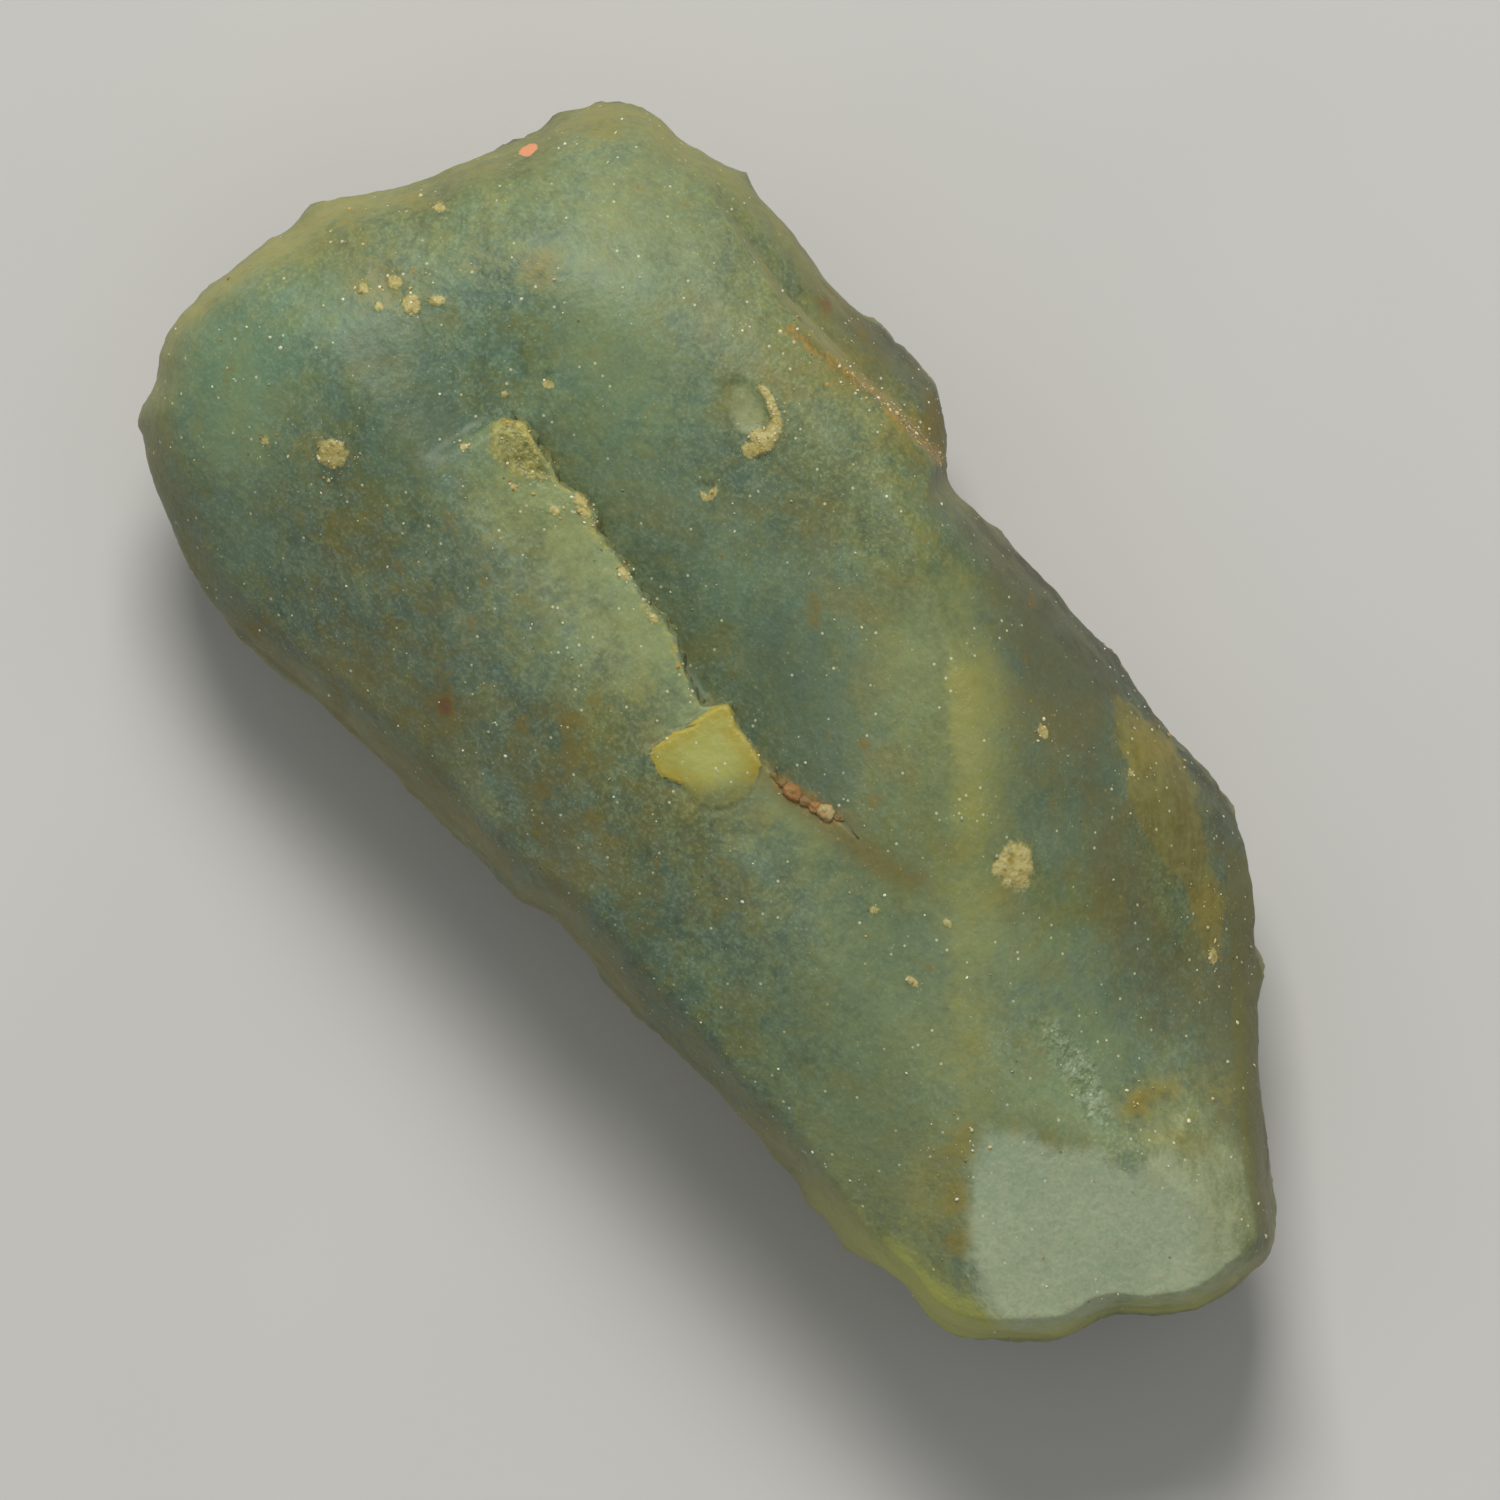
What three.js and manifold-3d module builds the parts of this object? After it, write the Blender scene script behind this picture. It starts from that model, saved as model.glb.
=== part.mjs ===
// Raw aventurine: one rough, unpolished piece of green quartz rock, lying on its broad broken underside.
// Millimetres. +X runs along the stone to its pale broken end, +Y across it, +Z up. The origin is the middle
// of the stone's length and width, on the level of the flat face that it rests on.
import * as THREE from 'three';
import { mergeVertices } from 'three/addons/utils/BufferGeometryUtils.js';
import Module from 'manifold-3d';

const wasm = await Module();
wasm.setup();

// ---- driving dimensions -------------------------------------------------------------------------------

// The widest contour of the stone, seen from above, as [x, y, height above the table]. Both runs start at the
// left tip and end at the right tip.
const OUTLINE_FAR_SIDE = [
  [-20.0, -4.0, 6.0], [-19.85, -2.2, 6.1], [-19.55, -1.3, 6.1], [-19.5, -0.1, 6.1], [-18.9, 1.25, 6.1],
  [-18.2, 2.7, 6.0], [-17.75, 4.2, 6.0], [-17.15, 5.6, 5.9], [-16.98, 6.8, 5.8], [-16.3, 7.9, 5.7],
  [-15.4, 8.6, 5.6], [-14.4, 8.78, 5.4], [-13.0, 9.28, 5.2], [-11.0, 9.48, 4.9], [-8.7, 9.32, 4.6],
  [-6.8, 9.48, 4.4], [-5.3, 9.7, 4.3], [-4.2, 9.5, 4.4], [-3.1, 8.85, 4.8], [-2.35, 8.14, 5.4],
  [-0.9, 8.1, 5.8], [0.6, 8.25, 6.0], [2.6, 8.32, 6.0], [6.0, 8.25, 5.8], [9.0, 8.1, 5.4],
  [10.5, 7.88, 5.2], [12.2, 6.92, 5.0], [13.0, 6.25, 4.9], [14.3, 5.3, 4.8], [16.2, 3.75, 4.6],
  [18.2, 2.15, 4.4], [19.55, 1.12, 4.3], [19.92, 0.45, 4.2], [19.85, -0.3, 4.2],
];
const OUTLINE_NEAR_SIDE = [
  [-20.0, -4.0, 6.0], [-19.92, -5.3, 5.9], [-19.6, -6.05, 5.8], [-19.0, -6.75, 5.7], [-18.4, -7.65, 5.6],
  [-17.0, -8.6, 5.5], [-15.4, -9.2, 5.4], [-13.3, -9.68, 5.3], [-11.0, -9.42, 5.3], [-8.4, -8.97, 5.4],
  [-5.5, -8.72, 5.4], [-3.0, -8.6, 5.4], [-1.5, -8.58, 5.4], [0.0, -8.12, 5.4], [2.5, -8.16, 5.3],
  [5.0, -8.0, 5.2], [7.6, -8.0, 5.1], [9.2, -7.77, 5.0], [10.5, -7.92, 4.9], [12.4, -7.88, 4.8],
  [14.0, -7.5, 4.7], [15.2, -7.5, 4.6], [16.3, -6.95, 4.5], [17.1, -6.0, 4.4], [17.9, -5.0, 4.3],
  [18.2, -3.75, 4.2], [19.0, -2.8, 4.2], [19.7, -1.7, 4.2], [19.9, -0.9, 4.2], [19.85, -0.3, 4.2],
];
const TOP_RIM_WIDTH = 1.1; // how far in from the contour the top reaches its full height
const TAIL_RIM = { width: 0.6, from: 10.5, to: 14.0 }; // the pale end has a sharper rim, between these x
const UNDER_RIM_WIDTH = 3.2; // the same, for the underside

// The worn top before any flake came off: a crest along the near side and a ridge along the far side, as
// [x, y, height, fall of the flank outside it per mm, growing fall per mm squared].
const NEAR_CREST = [
  [-20.0, -2.0, 11.4, 0.16, 0.075], [-14.0, -2.4, 11.6, 0.26, 0.07], [-10.0, -2.6, 11.75, 0.42, 0.05],
  [-5.0, -2.9, 11.9, 0.52, 0.03], [0.0, -3.2, 11.95, 0.52, 0.03], [5.0, -3.0, 11.85, 0.46, 0.035],
  [9.0, -2.8, 11.5, 0.40, 0.04], [13.0, -3.3, 10.9, 0.34, 0.06], [20.0, -3.4, 10.4, 0.34, 0.06],
];
const FAR_RIDGE = [
  [-20.0, 2.6, 11.4, 0.0, 0.07], [-14.0, 3.0, 11.6, 0.0, 0.075], [-10.0, 4.6, 11.7, 0.06, 0.085],
  [-6.0, 5.9, 11.75, 0.24, 0.08], [-3.0, 6.2, 11.85, 0.42, 0.06], [0.0, 5.6, 12.1, 0.50, 0.045],
  [3.0, 4.1, 12.3, 0.46, 0.045], [5.0, 2.8, 12.25, 0.40, 0.03], [8.0, 0.3, 11.9, 0.24, 0.034],
  [11.0, -2.0, 11.3, 0.20, 0.034], [13.0, -2.9, 10.95, 0.22, 0.045], [20.0, -3.1, 10.4, 0.30, 0.05],
];
const CREST_ROUNDING = 0.9; // radius over which a flank turns down from its crest

// The rounded left end falls away from the line through HEAD.at, towards HEAD.towards.
const HEAD = { at: [-13.5, 0.0], towards: [-0.955, 0.296], fall: 0.04, curve: 0.066 };

// A long flake broke off between the ledge and the ridge. The ledge is the plate's broken edge: [x, y].
const LEDGE = [
  [-13.5, -1.1], [-12.4, -0.6], [-11.65, -0.12], [-11.2, 0.2], [-10.5, 0.05], [-9.7, -0.02], [-9.4, -0.16],
  [-9.0, -0.06], [-8.5, 0.1], [-8.0, 0.0], [-7.6, -0.25], [-6.6, -0.3], [-5.2, -0.49], [-4.6, -0.5],
  [-3.9, -0.58], [-3.4, -0.82], [-2.8, -1.05], [-2.05, -1.25], [-1.78, -0.9], [-1.6, -0.62], [-1.0, -0.8],
  [0.2, -0.95], [1.0, -0.95], [2.0, -0.72], [3.0, -0.4], [5.2, -0.3], [6.5, -0.4], [9.0, -0.9],
  [11.2, -1.5], [13.5, -1.15],
];
const FLAKE_FLOOR = [
  [-13.5, 0.0], [-11.0, 0.0], [-6.0, -0.35], [-1.0, -1.0], [3.0, -0.6], [6.5, -0.4], [13.5, -1.4],
];
const FLAKE_DEPTH = [
  [-17.5, 0.0], [-15.0, 0.2], [-13.5, 0.42], [-12.0, 0.65], [-10.5, 1.0], [-8.0, 1.4], [-5.0, 1.75],
  [-2.0, 1.95], [0.0, 1.8], [1.2, 1.05], [2.0, 0.5], [2.7, 0.12], [3.4, 0.0],
];
const FLAKE_CURVE = 1.7; // how steeply its floor dives under the plate; 1 would be a flat slope
const FLAKE_SOFT_END = { from: -12.5, to: -10.5 }; // left of this its floor is hollow, not bulging
const FLAKE_NEAR_REACH = 3.2; // how far the scar runs on towards the near side, fading

// The plate's left edge, at y = 0: it leans by `lean` mm per mm and is `half` mm wide to each side.
const PLATE_EDGE = { x: -11.75, lean: 0.17, half: 0.28 };

// A thin block stands on the plate beside the ledge. It fades into the plate at its right.
const TOOTH_OUTLINE = [
  [-1.6, -0.57], [-1.29, -0.69], [-0.97, -0.81], [-0.31, -0.81], [-0.04, -0.9], [0.24, -0.98], [0.41, -1.24],
  [0.6, -1.59], [0.68, -1.93], [0.62, -2.3], [0.52, -2.6], [0.32, -2.9], [0.01, -3.06], [-0.68, -3.06],
  [-0.96, -3.16], [-1.29, -3.37], [-1.59, -3.31], [-2.0, -3.16], [-2.07, -2.89], [-2.01, -2.49],
  [-2.03, -2.23], [-1.84, -1.87], [-1.91, -1.69], [-1.86, -1.29], [-1.78, -0.86],
];
const TOOTH = { rise: 0.26, fadeFrom: -0.5, fadeTo: 1.0 };
const TOOTH_ROOT = 2.4; // how deep the block reaches into the rock
const DIP_BEFORE_TOOTH = { from: -4.6, to: -2.0, end: 0.5, near: -3.3, half: 1.0, depth: 0.12 };

// Flat broken faces that cut the top: a point on each, and its rise per mm along +X and along +Y.
const END_FACE = { at: [12.0, -3.0, 11.0], rise: [-0.31, 0.03] };
const WEDGE_FACE = { at: [5.5, 7.3, 9.2], rise: [-0.26, -0.90] };
const SIDE_FACE = { at: [9.0, 7.6, 8.4], rise: [-1.20, -1.95] };
const CREASE_WIDTH = { wedge: 0.25, side: 0.3, end: 0.12 }; // how wide the crease at each face is rounded

// The low lump on the far side, beyond a rusty seam in the main body.
const LUMP_SEAM = [[-13.6, 8.9], [-12.4, 8.2], [-9.0, 7.8], [-6.0, 7.95], [-4.8, 8.15], [-2.35, 8.14]];
const LUMP = { at: [-8.0, 8.0, 8.7], rise: [-0.12, -0.5] };
const LUMP_STEP = 0.35; // width over which the main body drops to the lump

// The broken faces around the flat face it rests on, on the underside.
const UNDER_FACES = [
  { at: [0.0, -4.9, 0.0], rise: [0.03, -0.62] },
  { at: [-2.0, 3.9, 0.0], rise: [-0.05, 0.52] },
  { at: [-11.2, -1.0, 0.0], rise: [-0.44, -0.10] },
  { at: [10.6, -0.5, 0.0], rise: [0.34, 0.10] },
  { at: [8.2, 2.4, 0.0], rise: [0.24, 0.36] },
  { at: [-8.0, -4.4, 0.0], rise: [-0.22, -0.46] },
];

// Pits, as ellipsoids cut into the top: [x, y, radius along X, radius along Y, depth].
const PITS = [
  [-7.55, 5.25, 0.95, 0.6, 0.2], [-11.7, 1.5, 0.27, 0.22, 0.14], [-6.6, 2.9, 0.3, 0.24, 0.14],
  [-16.6, -0.1, 0.75, 0.45, 0.12], [14.95, 0.85, 0.75, 0.8, 0.25],
];

// Crumbs and crusts standing on the top: [x, y, radius].
const CRUMBS = [
  [-6.42, 4.75, 0.3], [-6.5, 5.3, 0.27], [-6.95, 5.7, 0.22], [-14.1, -4.35, 0.42], [-15.78, 0.05, 0.28],
  [-16.57, 0.11, 0.21], [-15.4, 0.63, 0.2], [-8.83, -0.73, 0.15], [-8.31, -0.15, 0.24], [-6.24, -0.45, 0.17],
  [6.8, 2.75, 0.42], [7.3, 2.3, 0.42], [1.27, -1.02, 0.28], [1.8, -0.92, 0.2], [2.42, -0.68, 0.3],
];
const CRUMB_FLATNESS = 0.5; // a crumb's height, as a share of its width
const CRUMB_TURN = 1.3; // each crumb is turned this much further than the last, in radians

const CORE_HALF_LENGTH = 13.5; // the rings are drawn from a line this far to each side of the middle
const STATIONS = 82; // steps along the stone, on each side
const TOP_RINGS = [0, 0.06, 0.13, 0.2, 0.28, 0.36, 0.44, 0.52, 0.6, 0.68, 0.76, 0.83, 0.89, 0.94, 0.975, 1];
const UNDER_RINGS = [0.985, 0.94, 0.87, 0.78, 0.66, 0.52, 0.38, 0.24, 0.1, 0];
const STONE_COLOUR = 0x6f7856;
const STONE_ROUGHNESS = 0.62;

// ---- small helpers ------------------------------------------------------------------------------------

const { clamp, lerp, smoothstep } = THREE.MathUtils;

// Value of column `column` of a table of rows, at `x`, on straight lines between the rows.
function along(table, x, column) {
  let i = 1;
  while (i < table.length - 1 && table[i][0] < x) i += 1;
  const [before, after] = [table[i - 1], table[i]];
  const share = clamp((x - before[0]) / (after[0] - before[0]), 0, 1);
  return lerp(before[column], after[column], share);
}

// The same, averaged over a short stretch, for lines that bend gently.
function alongSmoothly(table, x, column) {
  const offsets = [-1.6, -0.8, 0, 0.8, 1.6];
  const weights = [0.12, 0.24, 0.28, 0.24, 0.12];
  return offsets.reduce((sum, offset, i) => sum + weights[i] * along(table, x + offset, column), 0);
}

// The lower of two heights, with the crease between them rounded over `width`.
function roundedMin(a, b, width) {
  const overlap = Math.max(width - Math.abs(a - b), 0) / width;
  return Math.min(a, b) - (overlap * overlap * width) / 4;
}

function heightOfFace(face, x, y) {
  return face.at[2] + face.rise[0] * (x - face.at[0]) + face.rise[1] * (y - face.at[1]);
}

// ---- the stone's surface ------------------------------------------------------------------------------

// How far a flank has fallen, `out` mm from its crest.
function flankFall(line, x, out) {
  const turned = Math.hypot(out, CREST_ROUNDING) - CREST_ROUNDING;
  return alongSmoothly(line, x, 3) * turned + alongSmoothly(line, x, 4) * out * out;
}

function headFall(x, y) {
  const out = (x - HEAD.at[0]) * HEAD.towards[0] + (y - HEAD.at[1]) * HEAD.towards[1];
  const past = Math.max(out, 0);
  return HEAD.fall * past + HEAD.curve * past * past;
}

// The worn top, before any flake came off.
function crownHeight(x, y) {
  const [crestY, crestZ] = [alongSmoothly(NEAR_CREST, x, 1), alongSmoothly(NEAR_CREST, x, 2)];
  const [ridgeY, ridgeZ] = [alongSmoothly(FAR_RIDGE, x, 1), alongSmoothly(FAR_RIDGE, x, 2)];
  let height = lerp(crestZ, ridgeZ, smoothstep(y, crestY, ridgeY));
  if (y < crestY) height = crestZ - flankFall(NEAR_CREST, x, crestY - y);
  if (y > ridgeY) height = ridgeZ - flankFall(FAR_RIDGE, x, y - ridgeY);
  return height - headFall(x, y);
}

// How deep the flake's scar is below the worn top: deepest at the ledge, nothing at the ridge.
function flakeDepth(x, y) {
  const floorY = alongSmoothly(FLAKE_FLOOR, x, 1);
  const ridgeY = alongSmoothly(FAR_RIDGE, x, 1);
  const towardsRidge = clamp((y - floorY) / Math.max(ridgeY - floorY, 0.5), 0, 1);
  const bulge = FLAKE_CURVE * towardsRidge * (1 - smoothstep(x, FLAKE_SOFT_END.from, FLAKE_SOFT_END.to));
  const rise = (1 - towardsRidge) ** FLAKE_CURVE * (1 + bulge);
  return alongSmoothly(FLAKE_DEPTH, x, 1) * rise * (1 - smoothstep(floorY - y, 0, FLAKE_NEAR_REACH));
}

function farSideHeight(x, y) {
  return crownHeight(x, y) - flakeDepth(x, y);
}

function dipBeforeTooth(x, y) {
  const { from, to, end, near, half, depth } = DIP_BEFORE_TOOTH;
  const across = smoothstep(y, near - half, near + half);
  return depth * across * smoothstep(x, from, to) ** 2 * (1 - smoothstep(x, to, end));
}

// The plate keeps the worn top; left of its left edge the flake's scar goes on towards the near side.
function nearSideHeight(x, y) {
  const pastEdge = x - PLATE_EDGE.x - PLATE_EDGE.lean * Math.min(y, 0);
  const scar = flakeDepth(x, y) * (1 - smoothstep(pastEdge, -PLATE_EDGE.half, PLATE_EDGE.half));
  return crownHeight(x, y) - scar - dipBeforeTooth(x, y);
}

function dropToLump(height, x, y) {
  if (x < LUMP_SEAM[0][0] || x > LUMP_SEAM[LUMP_SEAM.length - 1][0]) return height;
  const share = smoothstep(y - along(LUMP_SEAM, x, 1), 0, LUMP_STEP);
  return lerp(height, Math.min(height, heightOfFace(LUMP, x, y)), share);
}

function topHeight(x, y, side) {
  const isFar = Math.abs(x) < CORE_HALF_LENGTH ? side === 'far' : y >= along(LEDGE, x, 1);
  let height = isFar ? farSideHeight(x, y) : nearSideHeight(x, y);
  height = roundedMin(height, heightOfFace(WEDGE_FACE, x, y), CREASE_WIDTH.wedge);
  height = roundedMin(height, heightOfFace(SIDE_FACE, x, y), CREASE_WIDTH.side);
  height = roundedMin(height, heightOfFace(END_FACE, x, y), CREASE_WIDTH.end);
  return isFar ? dropToLump(height, x, y) : height;
}

function underHeight(x, y) {
  return UNDER_FACES.reduce((height, face) => Math.max(height, heightOfFace(face, x, y)), 0);
}

// ---- the closed mesh ----------------------------------------------------------------------------------

function outlineCurve(points) {
  return new THREE.CatmullRomCurve3(points.map((p) => new THREE.Vector3(...p)), false, 'catmullrom', 0.5);
}

// How far the surface has turned from the upright rim (0) to its full height (1).
function turnIn(rim, core, ring, width) {
  const inside = (1 - ring) * Math.hypot(rim.x - core.x, rim.y - core.y);
  const left = 1 - Math.min(inside / width, 1);
  return Math.sqrt(1 - left * left);
}

// A point of the top, `ring` of the way from the line along the middle (0) out to the rim (1).
function topPoint(rim, core, ring, side) {
  const [x, y] = [lerp(core.x, rim.x, ring), lerp(core.y, rim.y, ring)];
  const width = lerp(TOP_RIM_WIDTH, TAIL_RIM.width, smoothstep(rim.x, TAIL_RIM.from, TAIL_RIM.to));
  return [x, y, lerp(rim.z, topHeight(x, y, side), turnIn(rim, core, ring, width))];
}

function underPoint(rim, core, ring) {
  const [x, y] = [lerp(core.x, rim.x, ring), lerp(core.y, rim.y, ring)];
  return [x, y, lerp(rim.z, underHeight(x, y), turnIn(rim, core, ring, UNDER_RIM_WIDTH))];
}

// Rows of points on one side of the stone, each from the middle line over the top, round the rim and back.
function rowsOf(side) {
  const curve = outlineCurve(side === 'far' ? OUTLINE_FAR_SIDE : OUTLINE_NEAR_SIDE);
  const rows = [];
  for (let i = 0; i <= STATIONS; i += 1) {
    const rim = curve.getPointAt(i / STATIONS);
    const coreX = lerp(-CORE_HALF_LENGTH, CORE_HALF_LENGTH, i / STATIONS);
    const core = new THREE.Vector2(coreX, along(LEDGE, coreX, 1));
    const top = TOP_RINGS.map((ring) => topPoint(rim, core, ring, side));
    const under = UNDER_RINGS.map((ring) => underPoint(rim, core, ring));
    rows.push([...top, ...under]);
  }
  return rows;
}

// One closed surface from both sides' rows; along the ledge, upright faces join the foot to the top.
function stoneGeometry() {
  const positions = [];
  const triangles = [];
  const known = new Map();
  const vertex = (point) => {
    const key = point.map((value) => value.toFixed(3)).join(',');
    if (!known.has(key)) {
      known.set(key, positions.length / 3);
      positions.push(...point);
    }
    return known.get(key);
  };
  const triangle = (a, b, c) => {
    if (a !== b && b !== c && c !== a) triangles.push(a, b, c);
  };
  const quad = (a, b, c, d) => {
    triangle(a, b, c);
    triangle(a, c, d);
  };
  const [far, near] = ['far', 'near'].map((side) => rowsOf(side).map((row) => row.map(vertex)));
  far[0] = near[0]; // the two sides meet in one row at each tip
  far[STATIONS] = near[STATIONS];
  for (let i = 0; i < STATIONS; i += 1) {
    for (let ring = 0; ring < far[i].length - 1; ring += 1) {
      quad(far[i][ring], far[i + 1][ring], far[i + 1][ring + 1], far[i][ring + 1]);
      quad(near[i + 1][ring], near[i][ring], near[i][ring + 1], near[i + 1][ring + 1]);
    }
    quad(near[i][0], near[i + 1][0], far[i + 1][0], far[i][0]);
  }
  const geometry = new THREE.BufferGeometry();
  geometry.setAttribute('position', new THREE.Float32BufferAttribute(positions, 3));
  geometry.setIndex(triangles);
  return geometry;
}

// ---- tooth, pits and crumbs ---------------------------------------------------------------------------

function solidOf(geometry) {
  return new wasm.Manifold(new wasm.Mesh({
    numProp: 3,
    vertProperties: new Float32Array(geometry.getAttribute('position').array),
    triVerts: new Uint32Array(geometry.getIndex().array),
  }));
}

function surfaceHeight(x, y) {
  return topHeight(x, y, y >= along(LEDGE, x, 1) ? 'far' : 'near');
}

// The tooth: an upright block rooted in the rock, with its top parallel to the plate.
function toothBlock() {
  const shape = new THREE.Shape(TOOTH_OUTLINE.map(([x, y]) => new THREE.Vector2(x, y)));
  const block = new THREE.ExtrudeGeometry(shape, { depth: 1, bevelEnabled: false });
  block.deleteAttribute('normal');
  block.deleteAttribute('uv');
  const places = block.getAttribute('position');
  for (let i = 0; i < places.count; i += 1) {
    const [x, y] = [places.getX(i), places.getY(i)];
    const rise = TOOTH.rise * (1 - smoothstep(x, TOOTH.fadeFrom, TOOTH.fadeTo));
    places.setZ(i, crownHeight(x, y) + (places.getZ(i) > 0 ? rise : -TOOTH_ROOT));
  }
  return solidOf(mergeVertices(block, 1e-4));
}

function ball(detail) {
  const geometry = new THREE.IcosahedronGeometry(1, detail);
  geometry.deleteAttribute('normal');
  geometry.deleteAttribute('uv');
  return mergeVertices(geometry, 1e-4);
}

function cutPit(stone, [x, y, radiusX, radiusY, depth]) {
  const pit = ball(1).scale(radiusX, radiusY, depth).translate(x, y, surfaceHeight(x, y));
  return stone.subtract(solidOf(pit));
}

function addCrumb(stone, [x, y, radius], index) {
  const crumb = ball(0).scale(radius, radius, radius * CRUMB_FLATNESS);
  crumb.rotateZ(index * CRUMB_TURN).translate(x, y, surfaceHeight(x, y));
  return stone.add(solidOf(crumb));
}

function buildStone() {
  const pitted = PITS.reduce(cutPit, solidOf(stoneGeometry()).add(toothBlock()));
  return CRUMBS.reduce(addCrumb, pitted);
}

function meshOf(name, solid, material) {
  const made = solid.getMesh();
  const geometry = new THREE.BufferGeometry();
  geometry.setAttribute('position', new THREE.Float32BufferAttribute(made.vertProperties, 3));
  geometry.setIndex([...made.triVerts]);
  geometry.computeVertexNormals();
  const mesh = new THREE.Mesh(geometry, material);
  mesh.name = name;
  return mesh;
}

const stoneMaterial = new THREE.MeshStandardMaterial({ color: STONE_COLOUR, roughness: STONE_ROUGHNESS });

const part = new THREE.Group();
part.add(meshOf('aventurine', buildStone(), stoneMaterial));

export default part;
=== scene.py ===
# %% [markdown]
# # A rough stone, from its broken faces to its dust
# Raw aventurine is green quartz rock, sold as it was broken: waxy, frosted, a little see-through at its
# thin edges, and stained yellow and brown where iron got into its cracks. The CAD frame comes first,
# because the visible stone has to fill the same space as the solid that falls and rests.

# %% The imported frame
import math

import bmesh
import bpy
import numpy as np
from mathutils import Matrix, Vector, noise


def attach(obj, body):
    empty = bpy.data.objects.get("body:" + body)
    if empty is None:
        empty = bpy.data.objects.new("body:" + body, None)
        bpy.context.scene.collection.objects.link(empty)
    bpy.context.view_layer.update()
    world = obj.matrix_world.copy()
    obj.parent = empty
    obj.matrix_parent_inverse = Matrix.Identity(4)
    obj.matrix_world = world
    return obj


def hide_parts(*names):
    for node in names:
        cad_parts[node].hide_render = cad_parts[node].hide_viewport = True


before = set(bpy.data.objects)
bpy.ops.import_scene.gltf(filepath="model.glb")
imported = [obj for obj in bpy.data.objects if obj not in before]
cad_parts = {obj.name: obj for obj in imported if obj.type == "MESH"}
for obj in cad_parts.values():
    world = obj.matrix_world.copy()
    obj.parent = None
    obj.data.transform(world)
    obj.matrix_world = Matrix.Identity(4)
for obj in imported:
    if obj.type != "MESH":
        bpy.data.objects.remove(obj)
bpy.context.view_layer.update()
MM = 0.001

# %% [markdown]
# ## The widest contour
# Seen from above, the stone's edge is wavy, with one notch where a low lump joins the body. Two runs of
# points, one for each long side, hold its plan and the height of its widest line, in millimetres.
# A smooth curve through them keeps the waves but no corner that the points don't have.

# %% The contour's points and a curve through them
FAR_CONTOUR = [
    (-20.0, -4.0, 6.0), (-19.85, -2.2, 6.1), (-19.55, -1.3, 6.1), (-19.5, -0.1, 6.1), (-18.9, 1.25, 6.1),
    (-18.2, 2.7, 6.0), (-17.75, 4.2, 6.0), (-17.15, 5.6, 5.9), (-16.98, 6.8, 5.8), (-16.3, 7.9, 5.7),
    (-15.4, 8.6, 5.6), (-14.4, 8.78, 5.4), (-13.0, 9.28, 5.2), (-11.0, 9.48, 4.9), (-8.7, 9.32, 4.6),
    (-6.8, 9.48, 4.4), (-5.3, 9.7, 4.3), (-4.2, 9.5, 4.4), (-3.1, 8.85, 4.8), (-2.35, 8.14, 5.4),
    (-0.9, 8.1, 5.8), (0.6, 8.25, 6.0), (2.6, 8.32, 6.0), (6.0, 8.25, 5.8), (9.0, 8.1, 5.4),
    (10.5, 7.88, 5.2), (12.2, 6.92, 5.0), (13.0, 6.25, 4.9), (14.3, 5.3, 4.8), (16.2, 3.75, 4.6),
    (18.2, 2.15, 4.4), (19.55, 1.12, 4.3), (19.92, 0.45, 4.2), (19.85, -0.3, 4.2),
]
NEAR_CONTOUR = [
    (-20.0, -4.0, 6.0), (-19.92, -5.3, 5.9), (-19.6, -6.05, 5.8), (-19.0, -6.75, 5.7), (-18.4, -7.65, 5.6),
    (-17.0, -8.6, 5.5), (-15.4, -9.2, 5.4), (-13.3, -9.68, 5.3), (-11.0, -9.42, 5.3), (-8.4, -8.97, 5.4),
    (-5.5, -8.72, 5.4), (-3.0, -8.6, 5.4), (-1.5, -8.58, 5.4), (0.0, -8.12, 5.4), (2.5, -8.16, 5.3),
    (5.0, -8.0, 5.2), (7.6, -8.0, 5.1), (9.2, -7.77, 5.0), (10.5, -7.92, 4.9), (12.4, -7.88, 4.8),
    (14.0, -7.5, 4.7), (15.2, -7.5, 4.6), (16.3, -6.95, 4.5), (17.1, -6.0, 4.4), (17.9, -5.0, 4.3),
    (18.2, -3.75, 4.2), (19.0, -2.8, 4.2), (19.7, -1.7, 4.2), (19.9, -0.9, 4.2), (19.85, -0.3, 4.2),
]
STEPS_A_SPAN = 40


def curve_through(points, count):
    """Evenly spaced points of a Catmull-Rom curve through the given ones."""
    p = np.array(points, float)
    p = np.vstack([2 * p[0] - p[1], p, 2 * p[-1] - p[-2]])
    t = np.linspace(0, 1, STEPS_A_SPAN, endpoint=False)[:, None]
    spans = []
    for a, b, c, d in zip(p, p[1:], p[2:], p[3:]):
        tail = (2 * a - 5 * b + 4 * c - d) * t**2 + (3 * b - a - 3 * c + d) * t**3
        spans.append(0.5 * (2 * b + (c - a) * t + tail))
    line = np.vstack(spans + [p[-2:-1]])
    run = np.concatenate([[0], np.cumsum(np.linalg.norm(np.diff(line, axis=0), axis=1))])
    at = np.linspace(0, run[-1], count)
    return np.stack([np.interp(at, run, line[:, i]) for i in range(3)], 1)


print("contour points:", len(FAR_CONTOUR) + len(NEAR_CONTOUR))

# %% [markdown]
# ## The worn top
# Long before it was broken, the stone had a crest along one side and a ridge that runs across it from one
# shoulder to the far tip. Both are lines with a height, and each has a flank that falls away from it.
# Heights between the lines are eased, so there is no seam in the rock where one line's rule ends. The
# head falls away from a line of its own, more steeply the further out.

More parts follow.
